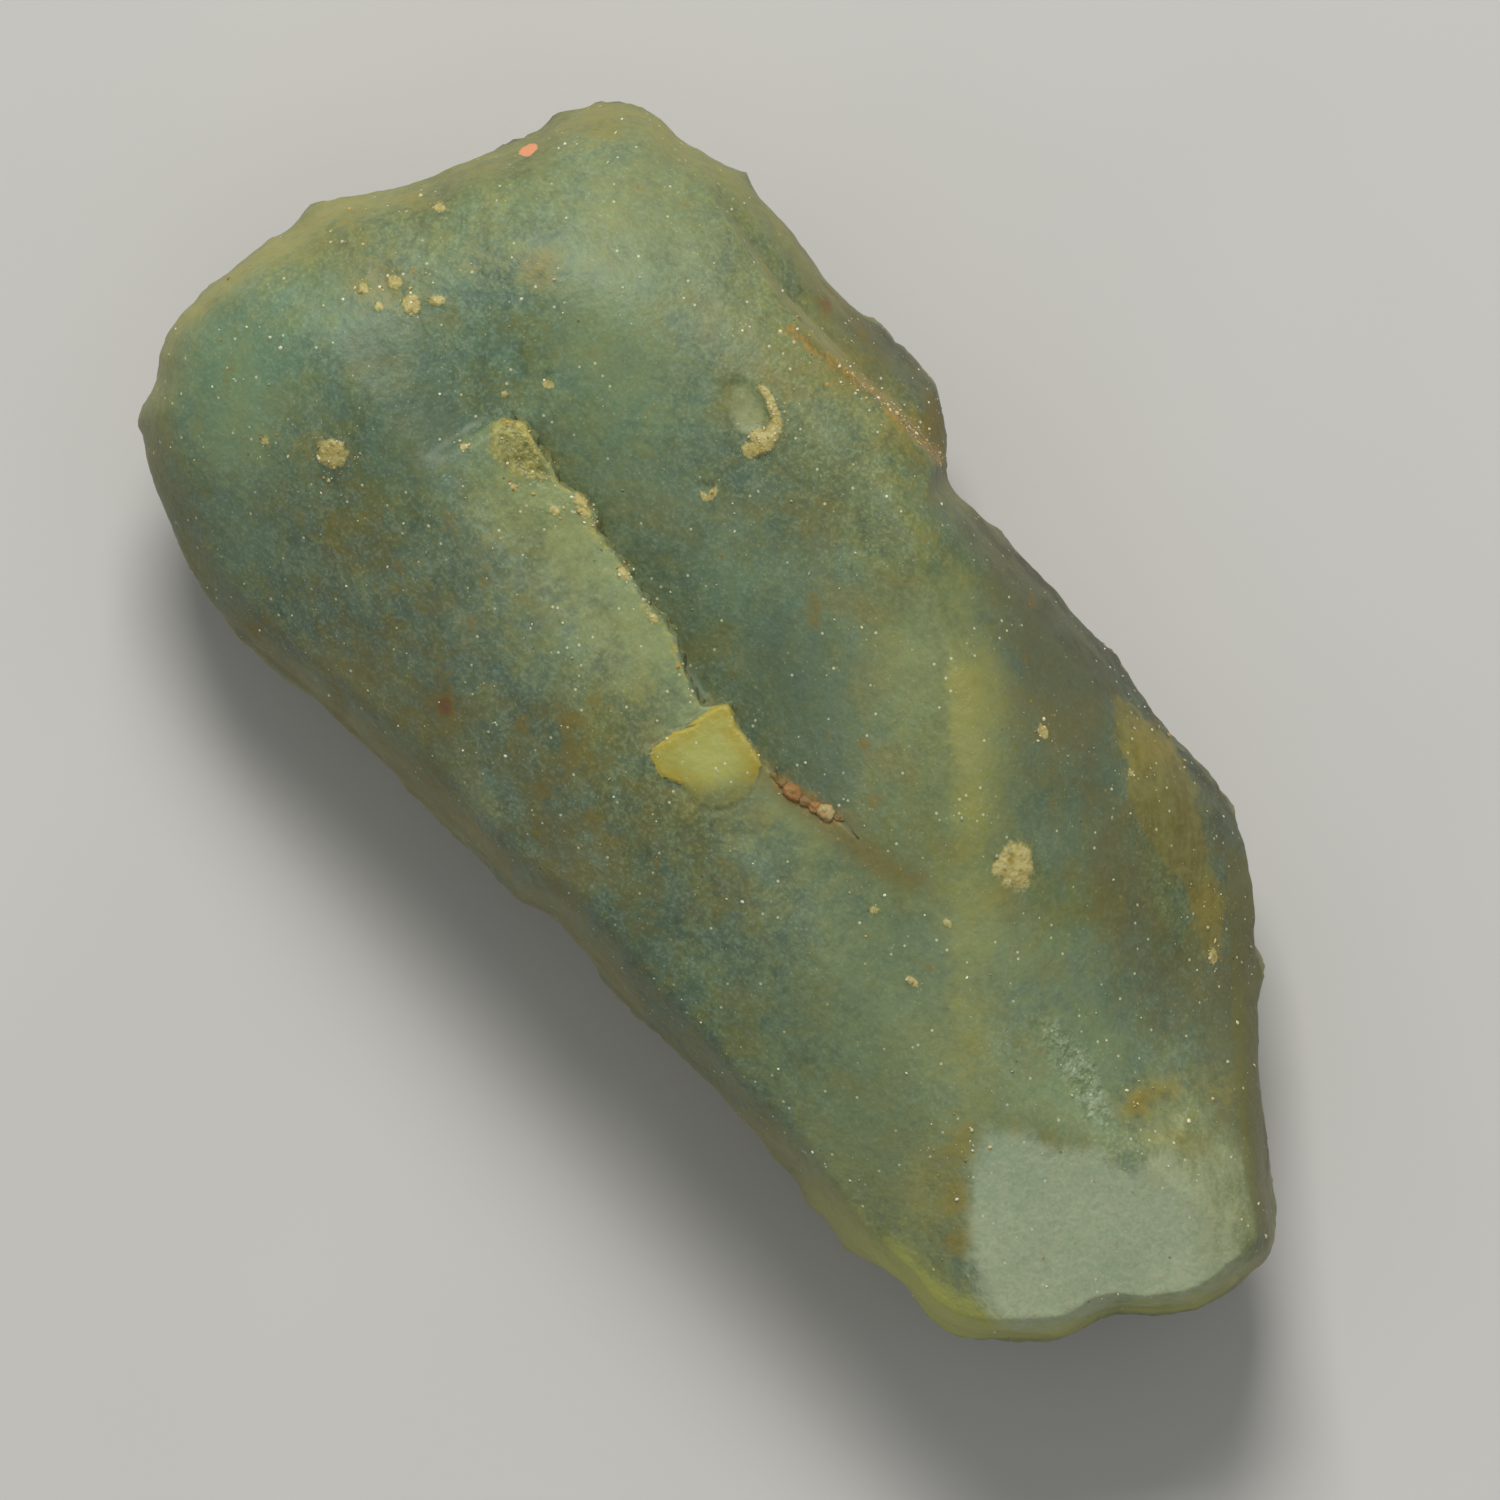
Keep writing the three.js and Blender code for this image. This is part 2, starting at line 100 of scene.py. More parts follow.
# %% Crest, ridge and head, as (x, y, height, slope of the flank, its curve)
NEAR_CREST = [
    (-20.0, -2.0, 11.4, 0.16, 0.075), (-14.0, -2.4, 11.6, 0.26, 0.07), (-10.0, -2.6, 11.75, 0.42, 0.05),
    (-5.0, -2.9, 11.9, 0.52, 0.03), (0.0, -3.2, 11.95, 0.52, 0.03), (5.0, -3.0, 11.85, 0.46, 0.035),
    (9.0, -2.8, 11.5, 0.40, 0.04), (13.0, -3.3, 10.9, 0.34, 0.06), (20.0, -3.4, 10.4, 0.34, 0.06),
]
FAR_RIDGE = [
    (-20.0, 2.6, 11.4, 0.0, 0.07), (-14.0, 3.0, 11.6, 0.0, 0.075), (-10.0, 4.6, 11.7, 0.06, 0.085),
    (-6.0, 5.9, 11.75, 0.24, 0.08), (-3.0, 6.2, 11.85, 0.42, 0.06), (0.0, 5.6, 12.1, 0.50, 0.045),
    (3.0, 4.1, 12.3, 0.46, 0.045), (5.0, 2.8, 12.25, 0.40, 0.03), (8.0, 0.3, 11.9, 0.24, 0.034),
    (11.0, -2.0, 11.3, 0.20, 0.034), (13.0, -2.9, 10.95, 0.22, 0.045), (20.0, -3.1, 10.4, 0.30, 0.05),
]
CREST_ROUNDING = 0.9
SMOOTHING = ((-1.6, 0.12), (-0.8, 0.24), (0, 0.28), (0.8, 0.24), (1.6, 0.12))
HEAD_AT, HEAD_TOWARDS, HEAD_FALL, HEAD_CURVE = (-13.5, 0.0), (-0.955, 0.296), 0.04, 0.066


def along(table, x, column):
    """A column of a table at x, on straight lines between the table's points."""
    rows = np.array(table)
    return np.interp(x, rows[:, 0], rows[:, column])


def along_smoothly(table, x, column):
    """The same as along(), averaged over a short stretch, with no corner at the table's points."""
    return sum(share * along(table, x + offset, column) for offset, share in SMOOTHING)


def eased(value, low, high):
    """0 below low, 1 above high, and a soft climb between."""
    t = np.clip((value - low) / (high - low), 0, 1)
    return t * t * (3 - 2 * t)


def flank_fall(line, x, out):
    turned = np.hypot(out, CREST_ROUNDING) - CREST_ROUNDING
    return along_smoothly(line, x, 3) * turned + along_smoothly(line, x, 4) * out**2


def crown_height(x, y):
    crest_y, crest_z = along_smoothly(NEAR_CREST, x, 1), along_smoothly(NEAR_CREST, x, 2)
    ridge_y, ridge_z = along_smoothly(FAR_RIDGE, x, 1), along_smoothly(FAR_RIDGE, x, 2)
    height = crest_z + (ridge_z - crest_z) * eased(y, crest_y, ridge_y)
    height = np.where(y < crest_y, crest_z - flank_fall(NEAR_CREST, x, crest_y - y), height)
    height = np.where(y > ridge_y, ridge_z - flank_fall(FAR_RIDGE, x, y - ridge_y), height)
    past = np.maximum((x - HEAD_AT[0]) * HEAD_TOWARDS[0] + (y - HEAD_AT[1]) * HEAD_TOWARDS[1], 0)
    return height - HEAD_FALL * past - HEAD_CURVE * past**2


print("crown height at the middle, mm:", round(float(crown_height(np.array([0.0]), np.array([0.0]))[0]), 2))

# %% [markdown]
# ## The flake scar, the plate and the tooth
# A long flake came off between the ledge and the ridge. Its scar dives under the plate that stayed, so
# the plate ends in a sharp step, the ledge. On the plate stands one thin block, the tooth, whose edges
# glow. Its outline says for any point how far inside it is, and that distance is eased into a height.

# %% Steps in the top
LEDGE = [
    (-13.5, -1.1), (-12.4, -0.6), (-11.65, -0.12), (-11.2, 0.2), (-10.5, 0.05), (-9.7, -0.02),
    (-9.4, -0.16), (-9.0, -0.06), (-8.5, 0.1), (-8.0, 0.0), (-7.6, -0.25), (-6.6, -0.3), (-5.2, -0.49),
    (-4.6, -0.5), (-3.9, -0.58), (-3.4, -0.82), (-2.8, -1.05), (-2.05, -1.25), (-1.78, -0.9),
    (-1.6, -0.62), (-1.0, -0.8), (0.2, -0.95), (1.0, -0.95), (2.0, -0.72), (3.0, -0.4), (5.2, -0.3),
    (6.5, -0.4), (9.0, -0.9), (11.2, -1.5), (13.5, -1.15),
]
FLAKE_FLOOR = [
    (-13.5, 0.0), (-11.0, 0.0), (-6.0, -0.35), (-1.0, -1.0), (3.0, -0.6), (6.5, -0.4), (13.5, -1.4),
]
FLAKE_DEPTH = [
    (-17.5, 0.0), (-15.0, 0.2), (-13.5, 0.42), (-12.0, 0.65), (-10.5, 1.0), (-8.0, 1.4), (-5.0, 1.75),
    (-2.0, 1.95), (0.0, 1.8), (1.2, 1.0), (1.7, 0.42), (2.1, 0.06), (2.35, 0.0),
]
FLAKE_CURVE, FLAKE_SOFT_END = 1.7, (-12.5, -10.5)
PLATE_START, PLATE_LEAN, PLATE_EDGE, PLATE_LEFT_REACH = -11.75, 0.17, 0.28, 3.2
TOOTH_FACE = [
    (-1.6, -0.57), (-1.29, -0.69), (-0.97, -0.81), (-0.31, -0.81), (-0.04, -0.9), (0.24, -0.98),
    (0.41, -1.24), (0.6, -1.59), (0.68, -1.93), (0.62, -2.3), (0.52, -2.6), (0.32, -2.9), (0.01, -3.06),
    (-0.68, -3.06), (-0.96, -3.16), (-1.29, -3.37), (-1.59, -3.31), (-2.0, -3.16), (-2.07, -2.89),
    (-2.01, -2.49), (-2.03, -2.23), (-1.84, -1.87), (-1.91, -1.69), (-1.86, -1.29), (-1.78, -0.86),
]
TOOTH_RISE, TOOTH_FADE, TOOTH_EDGE = 0.26, (-0.5, 1.0), (-0.02, 0.09)
TOOTH_LOW_SIDE, TOOTH_LOW_SHARE = (2.4, 3.3), 0.65
DIP_FROM, DIP_TO, DIP_NEAR, DIP_DEPTH = -4.6, -2.0, -3.3, 0.12


def flake_depth(x, y):
    floor_y, ridge_y = along_smoothly(FLAKE_FLOOR, x, 1), along_smoothly(FAR_RIDGE, x, 1)
    towards_ridge = np.clip((y - floor_y) / np.maximum(ridge_y - floor_y, 0.5), 0, 1)
    flatter = FLAKE_CURVE * towards_ridge * (1 - eased(x, *FLAKE_SOFT_END))
    rise = (1 - towards_ridge) ** FLAKE_CURVE * (1 + flatter)
    return along_smoothly(FLAKE_DEPTH, x, 1) * rise * (1 - eased(floor_y - y, 0, PLATE_LEFT_REACH))


def distance_to_line(xy, line, closed=False):
    ends = list(zip(line, line[1:] + line[:1] if closed else line[1:]))
    nearest = np.full(len(xy), 1e3)
    for start, end in ends:
        a, run = np.array(start), np.array(end) - np.array(start)
        t = np.clip((xy - a) @ run / (run @ run), 0, 1)
        nearest = np.minimum(nearest, np.linalg.norm(xy - a - t[:, None] * run, axis=1))
    return nearest


def depth_inside(xy, shape):
    """Distance to a shape's border, positive inside it and negative outside."""
    inside = np.zeros(len(xy), bool)
    for (ax, ay), (bx, by) in zip(shape, shape[1:] + shape[:1]):
        crosses = (ay > xy[:, 1]) != (by > xy[:, 1])
        with np.errstate(divide="ignore", invalid="ignore"):
            inside ^= crosses & (xy[:, 0] < ax + (bx - ax) * (xy[:, 1] - ay) / (by - ay))
    return np.where(inside, 1, -1) * distance_to_line(xy, shape, closed=True)


def tooth_rise(x, y):
    depth = depth_inside(np.stack([x.ravel(), y.ravel()], 1), TOOTH_FACE).reshape(x.shape)
    low_side = 1 - TOOTH_LOW_SHARE * eased(-y, *TOOTH_LOW_SIDE)
    return TOOTH_RISE * eased(depth, *TOOTH_EDGE) * (1 - eased(x, *TOOTH_FADE)) * low_side


def dip_before_tooth(x, y):
    across = eased(y, DIP_NEAR - 1, DIP_NEAR + 1) * (1 - eased(x, DIP_TO, DIP_TO + 2.5))
    return DIP_DEPTH * across * eased(x, DIP_FROM, DIP_TO) ** 2


def near_side_height(x, y):
    past_edge = x - PLATE_START - PLATE_LEAN * np.minimum(y, 0)
    scar = flake_depth(x, y) * (1 - eased(past_edge, -PLATE_EDGE, PLATE_EDGE))
    return crown_height(x, y) - scar + tooth_rise(x, y) - dip_before_tooth(x, y)


print("deepest place of the scar, mm:", max(depth for _, depth in FLAKE_DEPTH))

# %% [markdown]
# ## Flat broken faces and the low lump
# Three flat faces cut the top: a rusty wedge on the far flank, the steep strip beside it and the pale
# end. The lump is what is left of a lower layer, beyond a rusty seam. The lower of two surfaces always
# wins, which is how a break works: rock can only be taken away.

# %% Faces, as (a point, how it rises along x and y), with the width of the worn edge for those of the top
TOP_FACES = [
    ((5.5, 7.3, 9.2), (-0.26, -0.90), 0.25), ((9.0, 7.6, 8.4), (-1.20, -1.95), 0.3),
    ((12.0, -3.0, 11.0), (-0.31, 0.03), 0.12),
]
LUMP_SEAM = [(-13.6, 8.9), (-12.4, 8.2), (-9.0, 7.8), (-6.0, 7.95), (-4.8, 8.15), (-2.35, 8.14)]
LUMP, LUMP_STEP = ((-8.0, 8.0, 8.7), (-0.12, -0.5)), 0.35
UNDER_FACES = [
    ((0.0, -4.9, 0.0), (0.03, -0.62)), ((-2.0, 3.9, 0.0), (-0.05, 0.52)),
    ((-11.2, -1.0, 0.0), (-0.44, -0.10)), ((10.6, -0.5, 0.0), (0.34, 0.10)),
    ((8.2, 2.4, 0.0), (0.24, 0.36)), ((-8.0, -4.4, 0.0), (-0.22, -0.46)),
]
TOP_RIM_WIDTH, TAIL_RIM_WIDTH, UNDER_RIM_WIDTH = 1.1, 0.6, 3.2
TAIL_FROM, TAIL_TO = 10.5, 14.0


def face_height(face, x, y):
    (at_x, at_y, at_z), (rise_x, rise_y) = face
    return at_z + rise_x * (x - at_x) + rise_y * (y - at_y)


def rounded_min(a, b, width):
    overlap = np.maximum(width - np.abs(a - b), 0) / width
    return np.minimum(a, b) - overlap**2 * width / 4


def top_height(x, y, far):
    height = np.where(far, crown_height(x, y) - flake_depth(x, y), near_side_height(x, y))
    for point, rise, worn in TOP_FACES:
        height = rounded_min(height, face_height((point, rise), x, y), worn)
    on_seam = far & (x > LUMP_SEAM[0][0]) & (x < LUMP_SEAM[-1][0])
    beyond = eased(y - along(LUMP_SEAM, x, 1), 0, LUMP_STEP) * on_seam
    return height + beyond * (np.minimum(height, face_height(LUMP, x, y)) - height)


def under_height(x, y):
    return np.max([face_height(face, x, y) for face in UNDER_FACES] + [np.zeros_like(x)], axis=0)


print("faces cut into the top:", len(TOP_FACES), "and around the resting face:", len(UNDER_FACES))

# %% [markdown]
# ## A fine closed skin
# A grid draped over a plan would tear at the steep sides, so the skin is drawn as rings instead: each row
# runs from the ledge in the middle out over the top, round the rim and back under the stone. The ledge is
# the first ring on both sides, which keeps its break crisp: where the two heights differ, a small cliff
# joins them.

# %% Rows of points from the ledge to the rim and back
STATIONS, CORE_HALF = 356, 13.5
SIDE_STEPS, TOP_STEPS, UNDER_SIDE_STEPS, UNDER_STEPS, CLIFF_STEPS = 17, 80, 12, 20, 6
CRUMBLE, CRUMBLES = 0.07, ((0.45, 3, 5.0, 1.0), (0.16, 2, 9.0, 0.6))
CHIPS = ((0.7, 4, 3.1, 0.05), (0.22, 2, 8.4, 0.018))


def cloud(points, size, octaves=3, shift=0.0):
    """Smooth noise between about -1 and 1, with features `size` mm across."""
    offset = Vector((shift, shift * 1.7, shift * 0.6))
    return np.array([noise.fractal(Vector(p) / size + offset, 1.0, 2.0, octaves) for p in points.tolist()])


def clouds(points, table):
    """Several clouds in one, each as (size, octaves, shift, strength)."""
    return sum(strength * cloud(points, size, octaves, shift) for size, octaves, shift, strength in table)


def ledge_row():
    """The ledge's points, crumbly where the step is high."""
    x = np.linspace(-CORE_HALF, CORE_HALF, STATIONS + 1)
    line = np.stack([x, np.zeros_like(x), np.zeros_like(x)], 1)
    stepped = eased(along_smoothly(FLAKE_DEPTH, x, 1), 0.5, 0.9) * eased(x, -11.0, -7.0)
    return np.stack([x, along(LEDGE, x, 1) + CRUMBLE * clouds(line, CRUMBLES) * stepped], 1)


def rows_of(contour, far):
    rim = curve_through(contour, STATIONS + 1)
    chips = clouds(rim, CHIPS)
    towards = rim[:, :2] / np.linalg.norm(rim[:, :2], axis=1)[:, None]
    chips[[0, -1]] = 0
    rim[:, :2] += towards * chips[:, None]
    core = ledge_row()
    length = np.linalg.norm(rim[:, :2] - core, axis=1)[:, None]
    narrower = (TAIL_RIM_WIDTH - TOP_RIM_WIDTH) * eased(rim[:, 0:1], TAIL_FROM, TAIL_TO)
    rows = []
    for on_top, width, side_steps, steps in (
        (True, TOP_RIM_WIDTH + narrower, SIDE_STEPS, TOP_STEPS),
        (False, np.full_like(length, UNDER_RIM_WIDTH), UNDER_SIDE_STEPS, UNDER_STEPS),
    ):
        turn = np.linspace(0, math.pi / 2, side_steps + 1)
        inside = width * (1 - np.cos(turn))[None, :]
        flat = width + (length - width) * np.linspace(0, 1, steps + 1)[None, 1:]
        inside = np.hstack([inside, flat])
        share = np.concatenate([np.sin(turn), np.ones(steps)])[None, :]
        x = rim[:, 0:1] + (core[:, 0:1] - rim[:, 0:1]) * inside / length
        y = rim[:, 1:2] + (core[:, 1:2] - rim[:, 1:2]) * inside / length
        on_far = np.where(np.abs(x) < CORE_HALF, far, y >= along(LEDGE, x, 1))
        full = top_height(x, y, on_far) if on_top else under_height(x, y)
        z = rim[:, 2:3] + (full - rim[:, 2:3]) * share
        rows.append(np.stack([x, y, z], 2))
    return np.concatenate([rows[0][:, ::-1], rows[1][:, 1:]], 1)


near, far = rows_of(NEAR_CONTOUR, False), rows_of(FAR_CONTOUR, True)
print("rows:", near.shape[:2], "on each side")

# %% [markdown]
# ## Joining the two sides
# Both sides share the row at each tip, the line underneath, and the stretches of the ledge without a
# step. Sharing the very same point numbers, instead of welding near points later, keeps the skin closed
# for sure.

# %% One list of points and one list of faces
SAME_HEIGHT, CLIFF_BULGE = 0.02, 0.16


def cliff_row(near, far, step, k):
    """One row of the cliff, which bulges and crumbles most halfway down."""
    row = near + (far - near) * k / CLIFF_STEPS
    ragged = 0.4 + cloud(row, 0.3, 3, 2.0)
    row[:, 1] += CLIFF_BULGE * np.clip(step, 0, 1) * math.sin(math.pi * k / CLIFF_STEPS) * ragged
    return row


def joined_skin(near, far):
    stations, rings = near.shape[:2]
    near_ids = np.arange(stations * rings).reshape(stations, rings)
    far_ids = near_ids + stations * rings
    step = near[:, 0, 2] - far[:, 0, 2]
    shared = (np.abs(step) < SAME_HEIGHT) | (np.arange(stations) % (stations - 1) == 0)
    far_ids[[0, -1]] = near_ids[[0, -1]]
    far_ids[:, -1] = near_ids[:, -1]
    far_ids[shared, 0] = near_ids[shared, 0]
    points = [near.reshape(-1, 3), far.reshape(-1, 3)]
    cliff_ids = [near_ids[:, 0]]
    for k in range(1, CLIFF_STEPS):
        ids = 2 * stations * rings + (k - 1) * stations + np.arange(stations)
        cliff_ids.append(np.where(shared, near_ids[:, 0], ids))
        points.append(cliff_row(near[:, 0], far[:, 0], step, k))
    cliff_ids.append(far_ids[:, 0])
    patches = [(near_ids[::-1], False), (far_ids, False), (np.stack(cliff_ids, 1)[::-1], True)]
    quads = []
    for ids, is_cliff in patches:
        a, b, c, d = ids[:-1, :-1], ids[1:, :-1], ids[1:, 1:], ids[:-1, 1:]
        order = (a, d, c, b) if is_cliff else (a, b, c, d)
        quads.append(np.stack(order, -1).reshape(-1, 4))
    quads = np.concatenate(quads)
    triangles = np.concatenate([quads[:, [0, 1, 2]], quads[:, [0, 2, 3]]])
    a, b, c = triangles.T
    triangles = triangles[(a != b) & (b != c) & (c != a)]
    used, again = np.unique(triangles, return_inverse=True)
    return np.concatenate(points)[used], again.reshape(-1, 3)


points, triangles = joined_skin(near, far)
print("points:", len(points), "triangles:", len(triangles))

# %% [markdown]
# ## Relief
# A broken stone is never smooth: broad swells, shallow flutes beyond the ridge, and a fine bite all over.
# The top moves a few hundredths of a millimetre along its own normals, the flanks a few tenths, and the
# face it rests on not at all. Pits are pressed in after that, so that their floors stay rough.

# %% Swells, flutes, bite and pits, the last as (x, y, half length, half width, depth)
PITS = [
    (-7.55, 5.25, 0.95, 0.6, 0.14), (-11.7, 1.5, 0.25, 0.2, 0.08), (-6.5, 2.9, 0.3, 0.22, 0.08),
    (-16.6, -0.1, 0.7, 0.4, 0.06), (14.95, 0.85, 0.75, 0.8, 0.22),
]
SWELL, FLUTE, FIBRE, BITE, ROUGH_BREAK = 0.055, 0.03, 0.009, 0.006, 0.10
SCALLOP, SCALLOP_DEPTH, SCALLOP_MIDDLE = 5.5, 0.5, 0.45
FLUTE_ALONG, FLUTE_STRETCH, FIBRE_STRETCH = (0.82, -0.57), 5, 3.5
PIT_RAGGED, PIT_FLATNESS = 0.3, 0.7


def normals_of(points, triangles):
    a, b, c = (points[triangles[:, i]] for i in range(3))
    face = np.cross(b - a, c - a)
    total = np.zeros_like(points)
    for i in range(3):
        for axis in range(3):
            total[:, axis] += np.bincount(triangles[:, i], face[:, axis], len(points))
    return total / np.linalg.norm(total, axis=1)[:, None]


def scallops(points):
    """Shallow hollows with ridges between them, as flakes leave them: 0 in a hollow, about 1 on a ridge."""
    near_two = np.array([noise.voronoi(Vector(p) / SCALLOP)[0][:2] for p in points.tolist()])
    return np.clip(near_two[:, 0] / near_two[:, 1], 0, 1) ** 2


def worn_relief(points, normals):
    """Swells and fibres everywhere, and flutes beyond the ridge."""
    x, y, z = points.T
    run = x * FLUTE_ALONG[0] + y * FLUTE_ALONG[1]
    across = -x * FLUTE_ALONG[1] + y * FLUTE_ALONG[0]
    fluted = eased(y - along_smoothly(FAR_RIDGE, x, 1), 0.4, 2.0) * (normals[:, 2] > 0)
    flutes = cloud(np.stack([run / FLUTE_STRETCH, across, z / 3], 1), 1.1, 2, 4.0) * fluted
    fibres = cloud(np.stack([x / FIBRE_STRETCH, y, z], 1), 0.9, 4, 9.0)
    lift = SWELL * cloud(points, 2.8, 2, 1.0) + FLUTE * flutes + FIBRE * fibres
    return lift + BITE * cloud(points, 0.28, 2, 6.0)


def broken_relief(points, normals):
    """Scallops on the flanks and below, with no share in the top or in the ledge's cliff."""
    x, y, z = points.T
    outer = np.maximum(eased(np.abs(y), 3.5, 5.0), eased(np.abs(x), 14.0, 16.0))
    below = np.maximum(eased(-normals[:, 2], -0.15, 0.35), eased(-normals[:, 2], -0.3, 0.25) * outer)
    hollows = SCALLOP_DEPTH * (scallops(points * (1, 1, 1.4)) - SCALLOP_MIDDLE)
    return below * (hollows + ROUGH_BREAK * cloud(points, 1.6, 4, 12.0))


def relief(points, normals):
    off_the_floor = eased(points[:, 2], 0.02, 1.2)
    return (worn_relief(points, normals) + broken_relief(points, normals)) * off_the_floor


normals = normals_of(points, triangles)
on_top = normals[:, 2] > 0.05
points = points + normals * relief(points, normals)[:, None]
for pit_x, pit_y, radius_x, radius_y, depth in PITS:
    reach = ((points[:, 0] - pit_x) / radius_x) ** 2 + ((points[:, 1] - pit_y) / radius_y) ** 2
    near_pit = (reach < 1.5) & on_top
    ragged = reach[near_pit] + PIT_RAGGED * cloud(points[near_pit], 0.35, 3, 7.0)
    points[near_pit, 2] -= depth * np.clip(1 - ragged, 0, 1) ** PIT_FLATNESS
normals = normals_of(points, triangles)
print("skin box, mm:", points.min(0).round(2), points.max(0).round(2))

# %% [markdown]
# ## Crusts and rough patches
# Where dirt sits in a hollow it forms a crumbly crust, a tenth of a millimetre high. The crusts are
# lifted out of the skin with ragged edges. Two patches before the pale end and one on the plate's corner,
# where small flakes broke off, are made uneven.

# %% Crusts, as (x, y, half length, half width, turn in degrees, lift), and the rough patches
CRUSTS = [
    (-14.1, -4.35, 0.46, 0.42, 0, 0.12), (-15.78, 0.05, 0.30, 0.26, 0, 0.08),
    (-15.4, 0.63, 0.26, 0.15, 60, 0.08), (-16.57, 0.11, 0.22, 0.20, 0, 0.08),
    (-17.0, -0.66, 0.15, 0.14, 0, 0.06), (-16.33, -0.68, 0.13, 0.12, 0, 0.06),
    (-7.45, 5.86, 0.34, 0.12, 0, 0.05), (-6.95, 5.7, 0.34, 0.16, -25, 0.07),
    (-6.5, 5.35, 0.42, 0.22, -60, 0.12), (-6.42, 4.85, 0.42, 0.26, 75, 0.15),
    (-6.55, 4.5, 0.26, 0.24, 60, 0.12), (-6.72, 4.95, 0.26, 0.18, 70, 0.08),
    (7.05, 2.5, 0.72, 0.5, -41, 0.07), (6.75, 2.15, 0.34, 0.2, -60, 0.05),
    (-8.83, -0.73, 0.15, 0.14, 0, 0.07), (-8.31, -0.1, 0.30, 0.18, -10, 0.08),
    (-11.83, -1.47, 0.13, 0.10, 0, 0.05), (-6.3, 2.9, 0.26, 0.1, -65, 0.06),
    (-6.4, 2.66, 0.18, 0.1, -10, 0.06), (4.72, 5.5, 0.24, 0.14, -20, 0.05),
    (7.19, 6.6, 0.12, 0.11, 0, 0.05), (7.57, -1.81, 0.2, 0.11, 10, 0.05),
    (12.6, 5.0, 0.26, 0.12, -40, 0.06), (5.38, -1.31, 0.14, 0.1, 30, 0.04),
    (7.0, 0.0, 0.16, 0.09, 0, 0.04), (-15.6, -5.53, 0.14, 0.12, 0, 0.05),
    (-6.24, -0.4, 0.2, 0.17, 0, 0.07), (-4.77, -0.6, 0.16, 0.12, 0, 0.06),
    (-10.06, -1.14, 0.12, 0.12, 0, 0.05), (-8.6, 0.0, 0.24, 0.18, 0, 0.06),
    (-11.6, 1.45, 0.2, 0.12, 30, 0.05), (-17.3, 2.4, 0.2, 0.14, 0, 0.04),
    (-12.2, 0.35, 0.1, 0.1, 0, 0.04),
]
ROUGH_PATCHES = [(12.2, 0.1, 1.9, 0.7, -6), (13.3, -0.2, 1.3, 0.6, -12), (-10.6, -0.3, 1.4, 0.5, -8)]
ROUGH_LIFT, CRUST_RAGGED, CRUST_CRUMBLE = 0.05, 0.35, 0.5


def turned_reach(points, x, y, half_length, half_width, degrees):
    """1 at the middle of a turned oval, 0 on its edge, negative outside."""
    away = points[:, :2] - (x, y)
    c, s = math.cos(math.radians(degrees)), math.sin(math.radians(degrees))
    run, across = away[:, 0] * c + away[:, 1] * s, away[:, 1] * c - away[:, 0] * s
    return 1 - np.hypot(run / half_length, across / half_width)


FAR_OFF = -3.0
upward = normals[:, 2] > -0.3
crust = np.full(len(points), FAR_OFF)
for x, y, half_length, half_width, degrees, lift in CRUSTS:
    oval = turned_reach(points, x, y, half_length, half_width, degrees)
    close = (oval > -0.8) & upward
    flat = points[close] * (1, 1, 0)
    ragged = oval[close] + CRUST_RAGGED * cloud(flat, 0.16, 3, 7.5)
    crumble = 0.7 + CRUST_CRUMBLE * cloud(flat, 0.13, 2, 3.3)
    points[close, 2] += lift * eased(ragged, 0.0, 0.5) * crumble
    crust[close] = np.maximum(crust[close], oval[close])
rough = np.zeros(len(points))
for oval in ROUGH_PATCHES:
    rough = np.maximum(rough, eased(turned_reach(points, *oval), 0, 0.6) * on_top)
broken = rough > 0
points[broken, 2] += ROUGH_LIFT * rough[broken] * cloud(points[broken], 0.5, 3, 4.4)
normals = normals_of(points, triangles)
print("crusts:", len(CRUSTS), "rough points:", int(broken.sum()))

# %% [markdown]
# ## Where each mark lies
# Stains need sharp, crumbly borders in some places and soft ones in others. Each point of the skin
# therefore keeps its distance, in millimetres, to the marked shapes; the material later turns a distance
# plus some noise into a border. Distances change evenly over a face, so the border can be finer than the
# mesh.

# %% Marked shapes on the top, in millimetres
PALE_FACE = [
    (12.0, -3.0), (12.6, -2.4), (13.2, -2.05), (14.0, -1.6), (14.6, -1.0), (15.4, -0.85), (15.8, -0.2),
    (16.0, 0.5), (16.6, 0.55), (17.4, 0.5), (18.3, 0.4), (19.0, 0.3), (19.5, -0.1), (19.55, -0.9),
    (19.3, -1.9), (18.7, -2.6), (18.05, -3.3), (17.9, -4.2), (17.5, -5.1), (16.9, -5.9), (16.1, -6.25),
    (15.2, -6.1), (14.4, -5.6), (13.5, -4.8), (12.6, -4.0),
]
FIBRE_ZONE = [
    (15.4, -0.6), (16.2, 1.6), (17.6, 2.3), (18.8, 1.4), (19.6, 0.4), (19.4, -1.2), (18.0, -0.4),
    (16.6, -0.3),
]
BROKEN_CORNER = [
    (-11.85, -0.5), (-11.65, 0.0), (-11.2, 0.3), (-10.48, 0.05), (-9.69, 0.0), (-9.38, -0.19),
    (-9.69, -0.6), (-10.22, -0.8), (-10.84, -1.1), (-11.4, -1.0),
]
RUSTY_WEDGE = [
    (5.3, 7.75), (6.2, 7.9), (7.5, 8.05), (8.8, 7.75), (9.6, 7.2), (10.6, 6.6), (11.6, 6.1), (12.6, 5.4),
    (13.1, 5.0), (12.5, 4.85), (11.5, 5.3), (10.5, 5.6), (8.6, 5.8), (7.6, 6.2), (6.9, 6.7), (6.1, 6.95),
    (5.6, 7.3),
]
